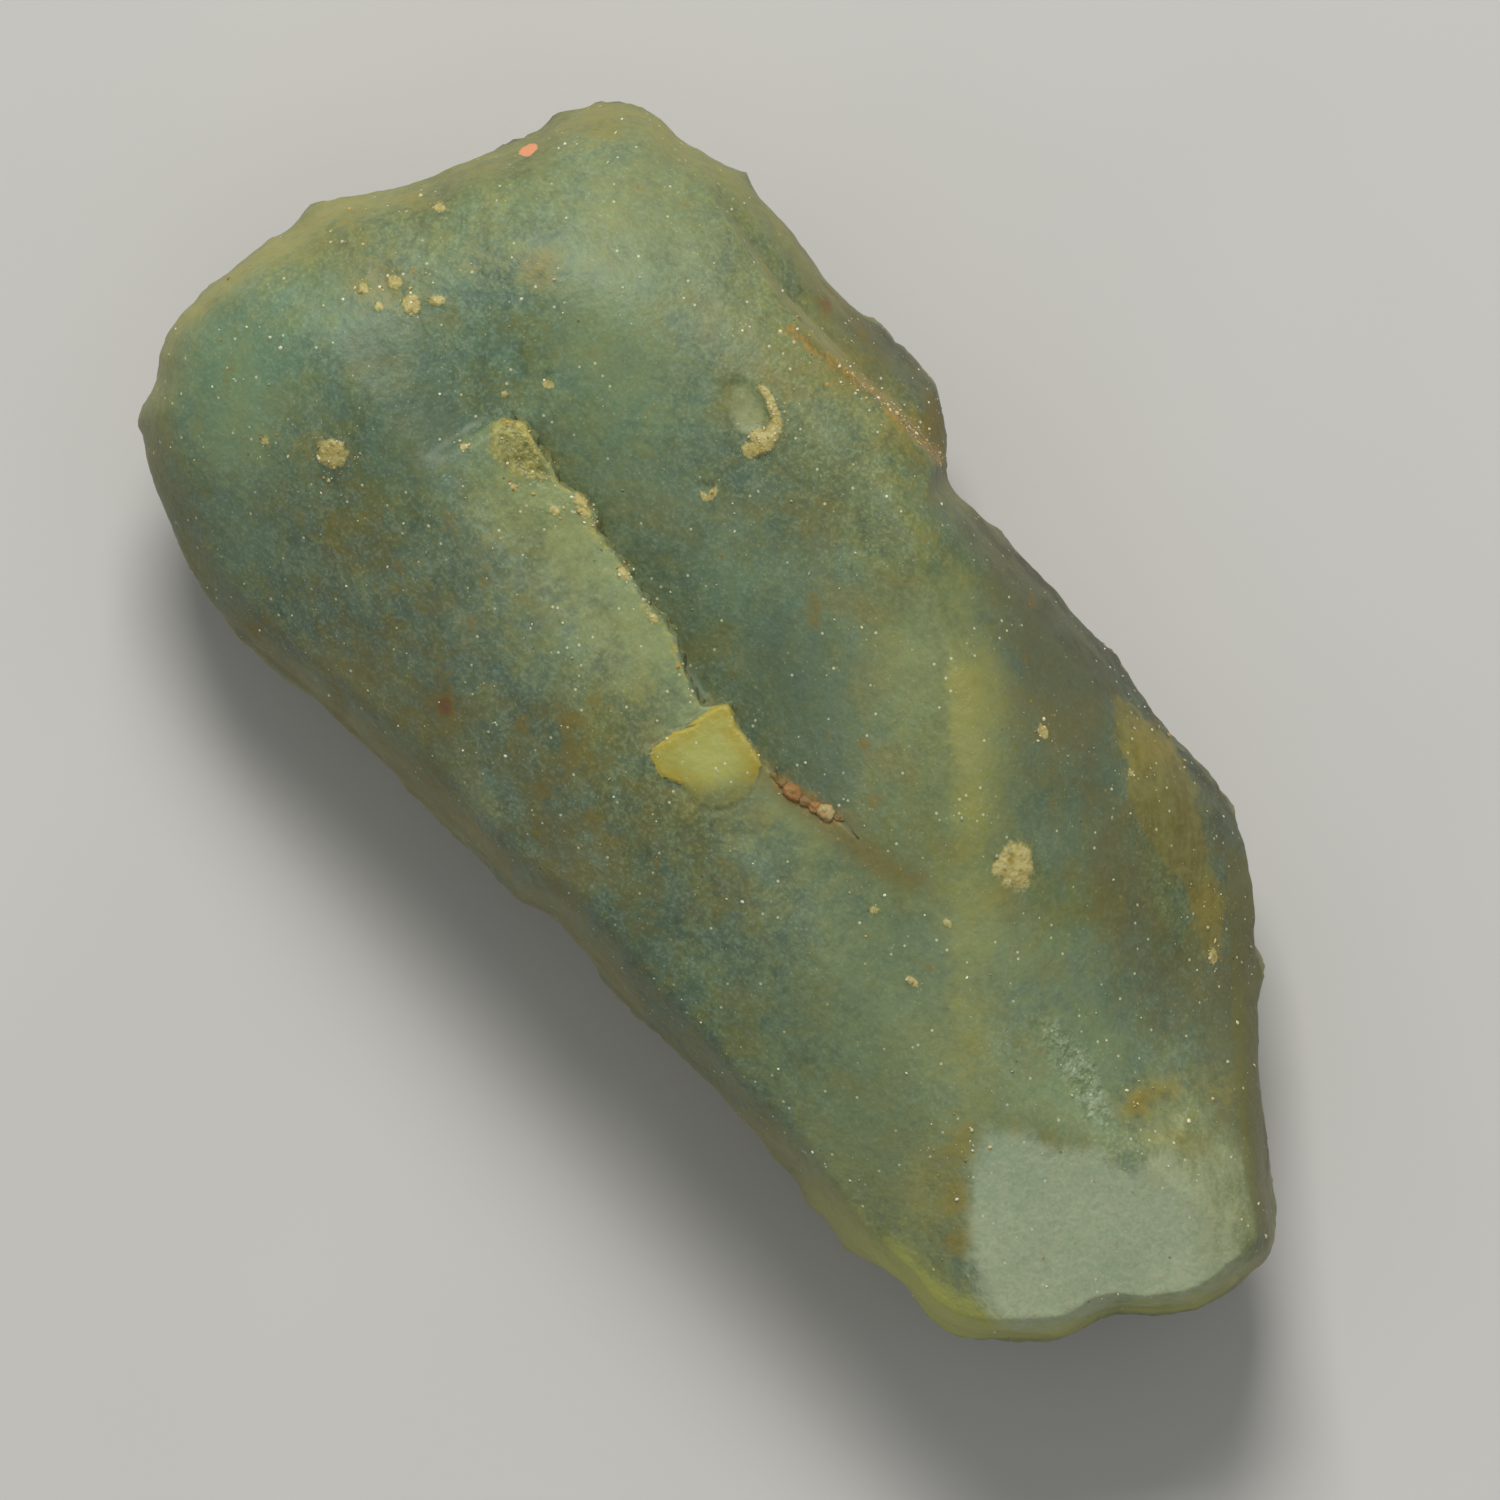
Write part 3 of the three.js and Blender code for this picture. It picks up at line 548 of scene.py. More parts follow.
SIDE_STRIP = [
    (10.4, 7.3), (11.7, 6.35), (15.3, 3.4), (17.6, 1.75), (19.2, 0.85), (20.0, 0.9), (18.4, 2.5),
    (16.4, 4.2), (13.2, 6.9), (11.5, 7.9),
]
RIDGE_LINE = [
    (-6.0, 9.0), (-3.0, 7.4), (1.0, 5.1), (3.6, 3.1), (6.6, 0.6), (8.7, -1.35), (11.0, -2.95), (11.6, -3.4),
]
CRACK_LINE = [(0.95, -0.94), (1.3, -0.86), (1.7, -0.8), (2.1, -0.66), (2.5, -0.54), (2.75, -0.48)]
BROWN_LINE = [(0.3, -1.1), (1.6, -1.0), (2.7, -0.7), (3.6, -0.5), (4.6, -0.35), (5.5, 0.1)]
SEAM_STAIN = [(-8.4, 7.55), (-6.4, 7.9), (-4.8, 8.2), (-2.7, 8.35)]
CURL_LINE = [(14.6, 1.75), (14.3, 1.3), (14.15, 0.85), (14.25, 0.45)]
SHAPES = {
    "pale": PALE_FACE, "fibre": FIBRE_ZONE, "tooth": TOOTH_FACE, "wedge": RUSTY_WEDGE, "strip": SIDE_STRIP,
    "corner": BROKEN_CORNER,
}
LINES = {"crack": CRACK_LINE, "brown": BROWN_LINE, "seam": SEAM_STAIN, "curl": CURL_LINE}
print("marked shapes and lines:", len(SHAPES), "and", len(LINES) + 1)

# %% [markdown]
# ## Distances as marks
# The tooth, the ledge and the rim have more to say: how far right on the tooth, whether a point is on the
# plate, and how far below the widest line. They are worked out from the same tables that gave the stone
# its shape.

# %% How far every point is from each of them
RIM_LEVEL, LEDGE_END = 5.6, 3.0
FADE_FROM, FADE_TOWARDS = (0.25, -1.9), (0.85, -0.5)
plan = points[:, :2]
marks = {"crust": crust, "rough": rough}
for name, shape in SHAPES.items():
    marks[name] = np.where(on_top, depth_inside(plan, shape), FAR_OFF)
for name, line in LINES.items():
    marks[name] = np.where(on_top, -distance_to_line(plan, line), FAR_OFF)
beyond_ridge = plan[:, 1] - np.interp(plan[:, 0], *np.array(RIDGE_LINE).T)
marks["ridge"] = np.where(on_top, np.sign(beyond_ridge) * distance_to_line(plan, RIDGE_LINE), FAR_OFF)
contour_line = [tuple(p) for p in np.vstack([NEAR_CONTOUR, FAR_CONTOUR[-2:0:-1]])[:, :2]]
below_rim = eased(RIM_LEVEL - points[:, 2], 0.0, 2.2)
marks["rim"] = FAR_OFF * below_rim - distance_to_line(plan, contour_line, closed=True)
on_plate = on_top & (plan[:, 1] < along(LEDGE, plan[:, 0], 1) + 0.02)
on_plate &= plan[:, 0] > PLATE_START + PLATE_LEAN * np.minimum(plan[:, 1], 0)
ledge_line = [place for place in LEDGE if PLATE_START < place[0] < LEDGE_END]
marks["tooth right"] = sum(FADE_TOWARDS[i] * (plan[:, i] - FADE_FROM[i]) for i in (0, 1))
marks["ledge"] = np.where(on_plate, -distance_to_line(plan, ledge_line), FAR_OFF)
print("marks so far:", ", ".join(marks))

# %% [markdown]
# ## Spots of rust and dirt
# Some marks have no border at all, such as rust that seeped in, ochre round a pit and a duller, darker
# olive on the flanks. Each is a soft round spot with a place, a radius and a strength, and spots of one
# kind add up. The one sharp spot is a fleck of salmon pink on the head's edge.

# %% Stains, as (x, y, radius, strength)
SPOTS = {
    "rust": [
        (-6.85, -6.4, 0.5, 1), (-7.4, -6.2, 0.4, 0.6), (-7.2, -7, 0.4, 0.6), (-6.2, -7.3, 0.35, 0.5),
        (-5, -5.3, 0.45, 0.7), (-10.2, -3.3, 0.55, 0.6), (-9.2, -3.1, 0.4, 0.6), (-9.6, -2.3, 0.4, 0.5),
        (-12, -9.1, 0.6, 0.7), (-10.6, -5, 0.35, 0.6), (-8.6, -3.4, 0.4, 0.6), (-8.2, -4.3, 0.4, 0.4),
        (-3.9, -4.4, 0.55, 0.9), (-3.3, -5.2, 0.45, 0.9), (-4.2, -3.2, 0.4, 0.6), (-3.1, -6.2, 0.4, 0.8),
        (-1.9, -5.4, 0.4, 0.9), (-2.4, -7, 0.2, 1), (0.4, -5, 0.22, 1), (-9.3, -8.4, 0.5, 0.6),
        (-8.6, -8.8, 0.4, 0.6), (2.75, 6.6, 0.3, 0.9), (1.72, 7.6, 0.3, 1), (-8.3, 8.85, 0.6, 0.9),
        (-7, 9, 0.5, 0.7), (-2, 2.9, 0.5, 0.8), (0.9, 1, 0.35, 0.8), (1.6, 1.5, 0.45, 0.8),
        (3.1, 0.7, 0.4, 0.7), (-4, 9, 0.7, 1), (-3.1, 8.5, 0.5, 1), (5.6, 7.2, 0.5, 0.4),
        (-16.95, 6.7, 0.3, 1), (-11.8, -4.6, 0.4, 0.5), (-13.2, -6.4, 0.5, 0.4), (-18.2, -0.9, 0.4, 0.5),
        (2.6, -7, 0.4, 0.4), (9.3, -6.6, 0.5, 0.4), (-2.6, -3.9, 0.3, 0.5), (-12.6, -3.3, 0.35, 0.4),
    ],
    "red": [
        (-6.75, -6.6, 0.32, 1), (2.75, 6.6, 0.25, 0.8), (-8.3, 8.85, 0.4, 0.8), (1.72, 7.6, 0.25, 0.7),
        (-1.7, -5.1, 0.25, 0.5),
    ],
    "yellow": [
        (14.25, 0.75, 0.42, 1), (10.2, -1.6, 0.45, 0.2), (11.3, -2.3, 0.45, 0.3), (12.5, -2.35, 0.45, 0.6),
        (11.6, -3.3, 0.5, 0.6), (-14.2, 3.4, 0.7, 0.9), (-17.8, 1.9, 0.6, 0.6), (-16.8, -0.1, 1.1, 0.75),
        (-18.7, 0.4, 0.5, 0.6), (2.3, 4.75, 0.9, 0.5), (-6.7, 5.2, 0.8, 0.6), (-10.3, -0.4, 0.9, 0.7),
        (12, -4, 0.6, 0.8), (12.9, -4.9, 0.6, 0.9), (13.9, -5.7, 0.5, 1), (7.4, 1.8, 0.5, 0.6),
        (-15.3, 2.2, 0.8, 0.5), (7, 7.4, 1, 0.8), (11.4, 5.8, 0.8, 0.8), (-16.3, 7.4, 0.9, 0.6),
        (15.2, 0.7, 0.6, 0.35), (-14.7, -4.9, 0.8, 0.5), (15.6, 2.7, 1, 0.5), (9.9, -2, 0.7, 0.45),
        (-6.5, 7.9, 1.2, 0.7), (-4.2, 8.2, 1, 0.8), (-18.9, -3.6, 0.8, 0.4), (-3.4, -2.2, 0.8, 0.5),
        (1.4, -2, 0.6, 0.7), (4.6, -1.2, 0.6, 0.4), (9.8, 4.4, 0.9, 0.4),
    ],
    # Dull flank: a duller, darker olive over stretches of both flanks.
    "grime": [
        (2.6, 7.3, 1.5, 0.7), (5.2, 6.2, 1.3, 0.5), (4.4, 7.6, 1.4, 0.8), (0.4, 8, 1.2, 0.7),
        (7.6, 5.2, 1.4, 0.4), (9.8, 4.2, 1.6, 0.6), (12.6, 3.6, 1.5, 0.6), (-6.6, 9, 1.2, 0.9),
        (-9.4, -7.6, 1.6, 0.5), (-6, -7.4, 1.8, 0.7), (-1.6, -7.2, 1.8, 0.6), (1.8, -6.8, 1.4, 0.5),
        (15.4, 3.2, 1.2, 0.7), (14.2, 4.6, 1.2, 0.9), (17.2, 2.3, 0.8, 0.8),
    ],
    "dirty": [
        (-8, -6, 3.2, 0.8), (-3, -5.8, 3, 0.8), (-11.5, -4.4, 2.4, 0.6), (2, -5.6, 2.4, 0.5),
        (1.8, 7.4, 2.4, 0.8), (5, 6.6, 2.2, 0.6), (-7, 8.8, 1.8, 0.9), (10, 4.6, 2.4, 0.5),
        (14, 4.6, 1.6, 0.7), (9, -6.8, 2, 0.4),
    ],
    "salmon": [(-17, 5.35, 0.27, 1)],
}
print("spots of rust and dirt:", sum(map(len, SPOTS.values())))

# %% [markdown]
# ## Stretches of tint
# The rock itself changes over a few millimetres: greener at the head, yellower along the ridge, paler
# where it is thick, greyer in the scar. These wide spots turn one colour towards another, and "calm" ones
# quieten the grain where water wore the skin smooth. The bright and light spots are partly painted light,
# which lifts the shade in the crease above and beside the pale end, and the dark spots are partly painted
# shade, where the skin faces away from the light.

# %% Tints
SPOTS |= {
    "teal": [
        (-18, -4.6, 1.9, 0.8), (-16.4, -6.2, 1.9, 0.7), (-17.4, -1.8, 1.4, 0.4), (-13.6, -7.9, 1.3, 0.4),
        (-9, 2.2, 2.6, 0.5), (-4, 1.6, 2.4, 0.5), (-12.6, -2, 1.2, 0.4), (0.2, 1.2, 1.3, 0.3),
        (12.2, 0.4, 1.4, 0.4),
    ],
    "green": [
        (-15, -2, 1.4, 0.7), (9, 3, 1.2, 0.6), (-10.4, -1.4, 1.2, 0.4), (6, -2, 1.6, 0.3),
        (-14, 1, 2.8, 0.9), (-12, 3.2, 2.2, 0.8), (-12.6, -3.6, 2, 0.9), (-16.4, -1, 2.2, 0.8),
        (-15.4, 4, 2, 0.6), (-10.2, 2.2, 1.6, 0.7), (1.6, -7, 1.6, 0.8), (4.8, -6.4, 1.8, 0.8),
        (7.8, -5.6, 1.5, 0.5), (11.6, 5.2, 0.9, 0.6), (-17.6, -4, 1.6, 0.4), (3, -3, 1.6, 0.3),
    ],
    "sallow": [
        (-15, -2, 1.2, 0.4), (6, 5.2, 1.4, 0.5), (-18.2, -1.6, 1, 0.5), (2.8, 4.9, 1, 0.3),
        (6, -2.2, 1.2, 0.3), (-12.2, 8.4, 1.2, 0.7), (-9.2, 7.4, 1.9, 0.8), (-6.4, 6.8, 1.9, 0.9),
        (-3.8, 6.4, 1.9, 0.9), (-1.2, 5.8, 1.7, 0.8), (0.8, 4.6, 1.5, 0.8), (2.6, 3.4, 1.5, 0.8),
        (4.4, 2, 1.6, 1), (6.2, 1.4, 1.3, 0.7), (3, 0.9, 1.1, 0.5), (-17.4, 1.6, 1.5, 0.8),
        (-16.2, 3.4, 1.3, 0.8), (-17.2, 5.4, 1.2, 0.6), (-18.6, -0.8, 1, 0.6), (3.2, -1, 1, 0.7),
        (5.2, -0.6, 1.1, 0.7), (0.6, -3.4, 1.2, 0.6), (-10.4, -1.4, 1, 0.6), (17.6, -5.4, 1, 0.5),
        (-7.2, 5.4, 1.2, 0.4), (-8.6, -0.9, 1.2, 0.9), (-3.6, -3.5, 1.6, 0.9), (-1, -3.6, 1.6, 0.7),
        (9.4, 5.8, 1.5, 0.9), (11.6, 4.6, 1.4, 0.8), (8.4, 2.6, 1.6, 0.5), (12.6, -1.4, 1.2, 0.2),
        (12.4, -5.4, 1.2, 0.5), (0, 6.2, 1.2, 0.4), (0, 7.6, 1, 0.5), (-6, -8.2, 1.2, 0.5),
        (16, 1.5, 1.4, 0.5), (9, -2.6, 1.5, 0.4),
    ],
    # Bright: partly paler rock, partly painted light that lifts the shade in the crease above and beside
    # the pale end.
    "bright": [
        (-17.2, -3.8, 1.8, 0.22), (-15.4, -6, 1.3, 0.15), (0, 7.8, 0.9, 0.3), (13.6, -1.6, 0.6, 0.9),
        (15.4, -0.7, 0.5, 0.9), (14.6, -1, 0.5, 0.8), (12.6, -2.4, 0.5, 0.6), (12, -5, 0.7, 0.5),
        (12.1, -4.2, 0.9, 0.9), (12.5, -5.5, 0.8, 0.8), (10.4, -3.6, 1.3, 0.3), (11, 0.6, 1.6, 0.25),
        (11.9, -3.4, 0.9, 0.8), (12.6, -2.1, 0.9, 0.8), (13.6, -1.2, 0.9, 0.8), (14.8, -0.4, 0.9, 0.6),
        (12, -0.6, 1.2, 0.5), (11.9, -4.9, 0.8, 0.4), (17.4, -5.8, 1.1, 0.7), (19.2, -3.4, 0.9, 0.7),
        (15.4, -6.8, 1.1, 0.5), (10.4, -1.6, 1.1, 0.5), (-3.8, -8.2, 1.3, 0.8), (-1.2, -8, 1.1, 0.7),
        (9.8, -7, 1.3, 0.5), (-8.6, -8.8, 1.2, 0.4), (-16.2, -6.2, 1.2, 0.3), (1.4, -1.4, 0.5, 0.3),
        (-14.6, 6.2, 1.6, 0.25), (-11.6, 3.6, 1.2, 0.25), (16.6, 0.6, 1.2, 0.3), (8.6, 1, 1.2, 0.25),
    ],
    # Light: partly paler rock, partly painted light, most of all along the pale end's upper border.
    "light": [
        (12.4, -1.5, 1.1, 0.9), (13.9, -0.7, 1, 0.7), (11.7, -3, 1.1, 0.9), (12.2, 0.2, 1.2, 0.7),
        (0.6, 4.6, 1.5, 0.4), (-11.8, 3.2, 1.3, 0.8), (-10.4, 3.9, 1.1, 0.6), (-16.3, -6, 1.3, 0.7),
        (9.6, 1.4, 1.5, 0.5), (10, -6, 1.2, 0.4), (7, -4.6, 3, 0.7), (10.5, -5.6, 2, 0.6),
        (9, -2.8, 1.6, 0.6), (5.5, -1.9, 1.6, 0.4), (-13.4, 6.2, 3, 0.8), (-6.2, -3.2, 1.5, 0.6),
        (1.6, 3.4, 1.6, 0.6), (-9.4, 2.2, 2, 0.5), (12.3, 1.2, 1.6, 0.4), (-17.2, 1.5, 2, 0.3),
        (8, 0.2, 1.2, 0.5), (2, -4.6, 1.8, 0.2),
    ],
    # Dark: partly darker rock, partly painted shade where the skin faces away from the light, as in the
    # scar by the plate's left end and on the far flank.
    "dark": [
        (-8, -6.5, 1.4, 0.4), (-1, 1, 1.6, 0.4), (-12.8, -2, 1.2, 0.25), (-4, -6.2, 1.4, 0.25),
        (3.2, -2, 1.3, 0.35), (6, -2, 1.5, 0.35), (-3, -2.6, 0.8, 0.3), (-4.6, 4.2, 1.4, 0.25),
        (-9.6, -3.8, 1.4, 0.3), (-8.4, 1.2, 1.2, 0.25), (-6.6, 0.8, 1, 0.2), (-15.2, -0.6, 1.2, 0.25),
        (1.6, 0.2, 1, 0.3), (2.3, -0.5, 1.3, 0.8), (0.4, 0.6, 1.1, 0.4), (-12.4, -1.9, 0.9, 0.6),
        (-2.2, 1.4, 1.2, 0.4), (1.4, -3.2, 1, 0.3), (-14.6, -2.2, 2, 0.7), (-12.9, -1.6, 1.1, 0.5),
        (3, 7.2, 2, 1), (0, 7.7, 1.6, 0.6), (6.2, 5.6, 1.4, 0.4), (14.2, 4, 1, 0.7), (16.6, 2.6, 0.8, 0.5),
        (-7, 8.9, 1.2, 0.5), (-5.4, 0.5, 1, 0.3), (-9.5, 6.6, 1.5, 0.2),
    ],
    "warm": [
        (-15, 6.5, 3.4, 0.5), (-9, 8, 2.8, 0.5), (-7.2, -1.3, 1.5, 0.9), (-4.6, -1.6, 1.3, 0.9),
        (-9.6, -1, 1.3, 0.8), (0.6, 4.2, 1.8, 0.5), (4.4, 3, 1.2, 0.5), (6.8, 0.6, 1.2, 0.5),
        (9.5, -1.6, 1.5, 0.6), (12.6, -4.9, 1.5, 0.6), (15.2, 3, 1.8, 0.5), (13.4, -7.1, 1.7, 0.9),
        (15.4, -7.1, 1.2, 0.9), (-19, 0.5, 1.8, 0.5), (14.9, 0.7, 0.9, 0.9), (16.4, 1.2, 1, 0.6),
        (10.2, -6.6, 1.6, 0.4),
    ],
    "calm": [
        (4, 3, 3, 1), (8, 2, 3.2, 1), (12, 1.5, 2.5, 0.7), (0.5, 5, 2.5, 0.9), (0, 1.8, 2, 0.9),
        (3, -1, 2, 0.7), (7, -2, 2, 0.8), (15.5, -3.5, 3, 0.9), (11, -5, 2.5, 0.6), (-3, 2.5, 2, 0.5),
        (6, 6, 2.5, 0.8),
    ],
}
print("with tints:", sum(map(len, SPOTS.values())))

# %% [markdown]
# ## Lit edges
# Light comes out again where the stone is thin. It glows along the head's rim, brightest and yellowest
# along the tail's, and in a band on the ridge.

# %% Lit edges
SPOTS |= {
    "glow": [
        (-20, -4.5, 2, 0.8), (-19.6, -1.5, 2, 0.7), (-18.9, 1.4, 1.8, 0.7), (-17.6, 4.4, 1.6, 0.55),
        (-16.6, 7.2, 1.6, 0.55), (-14.6, 8.8, 1.6, 0.6), (-12, 9.4, 1.8, 0.6), (-9.2, 9.4, 1.6, 0.4),
        (-18.8, -7.2, 1.8, 0.4), (-2.2, 8.3, 1, 0.4), (10, -7.9, 1.6, 0.4), (12, 7.1, 0.8, 0.3),
    ],
    "tail": [
        (16.5, -6.9, 1.2, 0.9), (18.6, -4.9, 1.2, 0.9), (19.8, -2.4, 1, 0.6), (13.2, -7.4, 0.9, 0.9),
        (14.6, -7.3, 0.9, 1), (16, -6.9, 0.9, 1), (17.4, -5.7, 0.9, 0.8), (12, -7.7, 0.8, 0.6),
        (18.1, -4.3, 0.7, 0.7), (18.8, -3, 0.7, 0.7), (19.6, -1.7, 0.7, 0.7), (19.8, -0.4, 0.6, 0.6),
        (10.8, -7.8, 0.7, 0.4),
    ],
    "crest": [
        (2.6, 4.9, 1.2, 1), (3.6, 4.2, 1.3, 0.9), (5.2, 2.8, 1.3, 0.75), (0.4, 6.2, 1.3, 0.4),
        (7.2, 0.8, 1.4, 0.65), (9.2, -1.2, 1.4, 0.55), (10.9, -2.6, 1.1, 0.4), (-2.8, 7.3, 1, 0.3),
    ],
}
print("with lit edges:", sum(map(len, SPOTS.values())))

# %% [markdown]
# ## Soft marks
# A spot is a bell curve of the distance to its middle. Rust and its red hearts are drawn out along the
# grain, because water ran that way, and so is the dull olive of the flanks. No spot reaches round the rim,
# where it would stretch into a stripe.

# %% Soft marks from the spots
STREAK_RUN, STREAKED = (0.755, -0.656), {"rust": 1.4, "red": 1.25, "grime": 1.3}
PIT_HOLLOW, ROUND_CRUST = (-7.35, 5.1, 0.95, 0.6, -20), (7.0, 2.4, 1.5, 1.3, -41)


def spots(points, table, stretch):
    total = np.zeros(len(points))
    for x, y, radius, strength in table:
        away_x, away_y = points[:, 0] - x, points[:, 1] - y
        run = (away_x * STREAK_RUN[0] + away_y * STREAK_RUN[1]) / stretch
        across = (away_x * STREAK_RUN[1] - away_y * STREAK_RUN[0]) * stretch
        total += strength * np.exp(-(run**2 + across**2) / radius**2)
    return np.clip(total, 0, 1) * eased(normals[:, 2], -0.1, 0.2)


for name, table in SPOTS.items():
    marks[name] = spots(points, table, STREAKED.get(name, 1.0))
salmon_x, salmon_y, salmon_radius, _ = SPOTS["salmon"][0]
near_salmon = np.hypot(plan[:, 0] - salmon_x, plan[:, 1] - salmon_y) < salmon_radius / 2
below = points[near_salmon, 2].max() - points[:, 2]
marks["salmon"] *= np.exp(-((below / salmon_radius / 2.5) ** 2))
marks["hollow"] = np.clip(turned_reach(points, *PIT_HOLLOW), -1, 1) * eased(normals[:, 2], -0.05, 0.3)
marks["crust edge"] = eased(crust, -0.2, 0.2)
marks["far side"] = eased(points[:, 1], -1.0, 3.0)
marks["hidden"] = 1 - eased(normals[:, 2], -0.1, 0.45)
print("marks:", len(marks))

# %% [markdown]
# ## Where grains settle
# Dust lies in drifts on what faces up, and there is little on the sides. Crumbs gather round the crusts,
# on the ochre, along the ledge and in the seam, and stay off the crack and the round crust, which have
# their own.

# %% Drifts of dust and places for crumbs
DRIFT_SIZE, DUST_ON_SIDES = 3.2, 0.25
drifts = eased(cloud(points, DRIFT_SIZE, 3, 21.0), -0.5, 0.7) + 0.15
facing_up = eased(normals[:, 2], -0.1, 0.5) * (1 - DUST_ON_SIDES) + DUST_ON_SIDES
marks["dust"] = facing_up * eased(points[:, 2], 0.5, 1.5) * drifts
ledge_crumbs = 0.6 * eased(marks["ledge"], -0.25, 0) + 0.4 * eased(marks["seam"], -0.5, 0)
bare = (1 - eased(marks["crack"], -0.7, -0.3)) * (1 - eased(turned_reach(points, *ROUND_CRUST), 0, 0.3))
marks["crumbs"] = bare * np.clip(eased(crust, -1.4, 0.2) + 0.2 * marks["yellow"] + ledge_crumbs, 0, 1)
print("share of the skin with dust:", round(float((marks["dust"] > 0.2).mean()), 2))

# %% [markdown]
# ## The stone as a Blender mesh
# The points go in as metres, and the object stays at the origin, unturned and unscaled, so that it shares
# the CAD frame. The marks become attributes of its points, by the names that the material asks for.

# %% Build the mesh


def mesh_piece(name, points_mm, faces):
    mesh = bpy.data.meshes.new(name)
    mesh.from_pydata((np.asarray(points_mm) * MM).tolist(), [], np.asarray(faces).tolist())
    mesh.shade_smooth()
    piece = bpy.data.objects.new(name, mesh)
    bpy.context.scene.collection.objects.link(piece)
    return piece


def keep_marks(piece, marks):
    for name, values in marks.items():
        layer = piece.data.attributes.new(name, "FLOAT", "POINT")
        layer.data.foreach_set("value", np.asarray(values, np.float32))


stone = mesh_piece("stone", points, triangles)
keep_marks(stone, marks)
print("stone triangles:", len(stone.data.polygons))

# %% [markdown]
# ## Writing shader maths as Python
# A material is a graph, and a graph of some hundred nodes is hard to read as node calls. One small class
# wraps a socket, so that an expression such as 1 - mask adds its Math nodes by itself. One method adds
# every other node, and colours go through Mix, because a Math node would turn them grey.

# %% A value in a material and the recipe that holds it


class Value:
    def __init__(self, recipe, socket):
        self.recipe, self.socket = recipe, socket

    def worked(self, operation, a, b):
        return self.recipe.add("ShaderNodeMath", {"operation": operation}, {0: a, 1: b})

    def __add__(self, other):
        return self.worked("ADD", self, other)

    def __radd__(self, other):
        return self.worked("ADD", other, self)

    def __sub__(self, other):
        return self.worked("SUBTRACT", self, other)

    def __rsub__(self, other):
        return self.worked("SUBTRACT", other, self)

    def __mul__(self, other):
        return self.worked("MULTIPLY", self, other)

    def __rmul__(self, other):
        return self.worked("MULTIPLY", other, self)


class Recipe:
    """A material under construction; add() makes any node and returns one of its outputs."""

    def __init__(self, name):
        self.material = bpy.data.materials.new(name)
        self.material.use_nodes = True
        self.tree = self.material.node_tree
        self.tree.nodes.clear()
        self.made = {}

    def add(self, kind, settings=None, sockets=None, output=0):
        node = self.tree.nodes.new(kind)
        for name, setting in (settings or {}).items():
            if name == "stops":
                ramp = node.color_ramp.elements
                while len(ramp) < len(setting):
                    ramp.new(1.0)
                for stop, (position, colour) in zip(ramp, setting):
                    stop.position, stop.color = position, (*colour, 1)
            else:
                setattr(node, name, setting)
        for key, value in (sockets or {}).items():
            if isinstance(value, Value):
                self.tree.links.new(value.socket, node.inputs[key])
            else:
                node.inputs[key].default_value = value
        return Value(self, node.outputs[output]) if node.outputs else node

    def mixed(self, share, a, b, blend="MIX"):
        """Colour a, with colour b over it by a share."""
        a, b = ((*c, 1) if isinstance(c, tuple) else c for c in (a, b))
        settings = {"data_type": "RGBA", "blend_type": blend}
        return self.add("ShaderNodeMix", settings, {0: share, 6: a, 7: b}, 2)

    def step(self, value, low, high):
        """0 below low, 1 above high, and an eased climb between."""
        sockets = {0: value, 1: low, 2: high}
        return self.add("ShaderNodeMapRange", {"interpolation_type": "SMOOTHSTEP"}, sockets)

    def place(self, turn=0.0, stretch=(1, 1, 1)):
        """Object coordinates in mm, turned about Z and stretched for streaks; each is made once."""
        if (turn, stretch) not in self.made:
            coordinates = self.add("ShaderNodeTexCoord", None, None, "Object")
            scale = tuple(s / 1000 for s in stretch)
            sockets = {"Vector": coordinates, "Rotation": (0, 0, -turn), "Scale": scale}
            self.made[turn, stretch] = self.add("ShaderNodeMapping", {"vector_type": "TEXTURE"}, sockets)
        return self.made[turn, stretch]

    def noise(self, size, detail=3.0, roughness=0.55, place=None):
        """Noise between about -1 and 1, with features `size` mm across."""
        return self.add("ShaderNodeTexNoise", None, {
            "Vector": place or self.place(), "Scale": 1 / size, "Detail": detail, "Roughness": roughness,
        }) * 4 - 2

    def mark(self, name):
        """A mark of the skin, read from the mesh; each is made once."""
        if name not in self.made:
            self.made[name] = self.add("ShaderNodeAttribute", {"attribute_name": name}, None, "Fac")
        return self.made[name]

    def finished(self, shader):
        self.add("ShaderNodeOutputMaterial", None, {"Surface": shader})
        return self.material


def colour(red, green, blue):
    """An sRGB colour from 0 to 255, as the linear one that Blender works with."""
    return tuple(((c / 255 + 0.055) / 1.055) ** 2.4 for c in (red, green, blue))


print("colour(111, 120, 86) =", tuple(round(c, 3) for c in colour(111, 120, 86)))

# %% [markdown]
# ## The body of the stone
# Green mica in quartz gives a cloudy sea green. Clouds of four sizes set the tone, a fifth one is drawn
# out along the grain, and a ramp turns the tone into a colour. Where the skin is calm, all but the
# broadest count less.

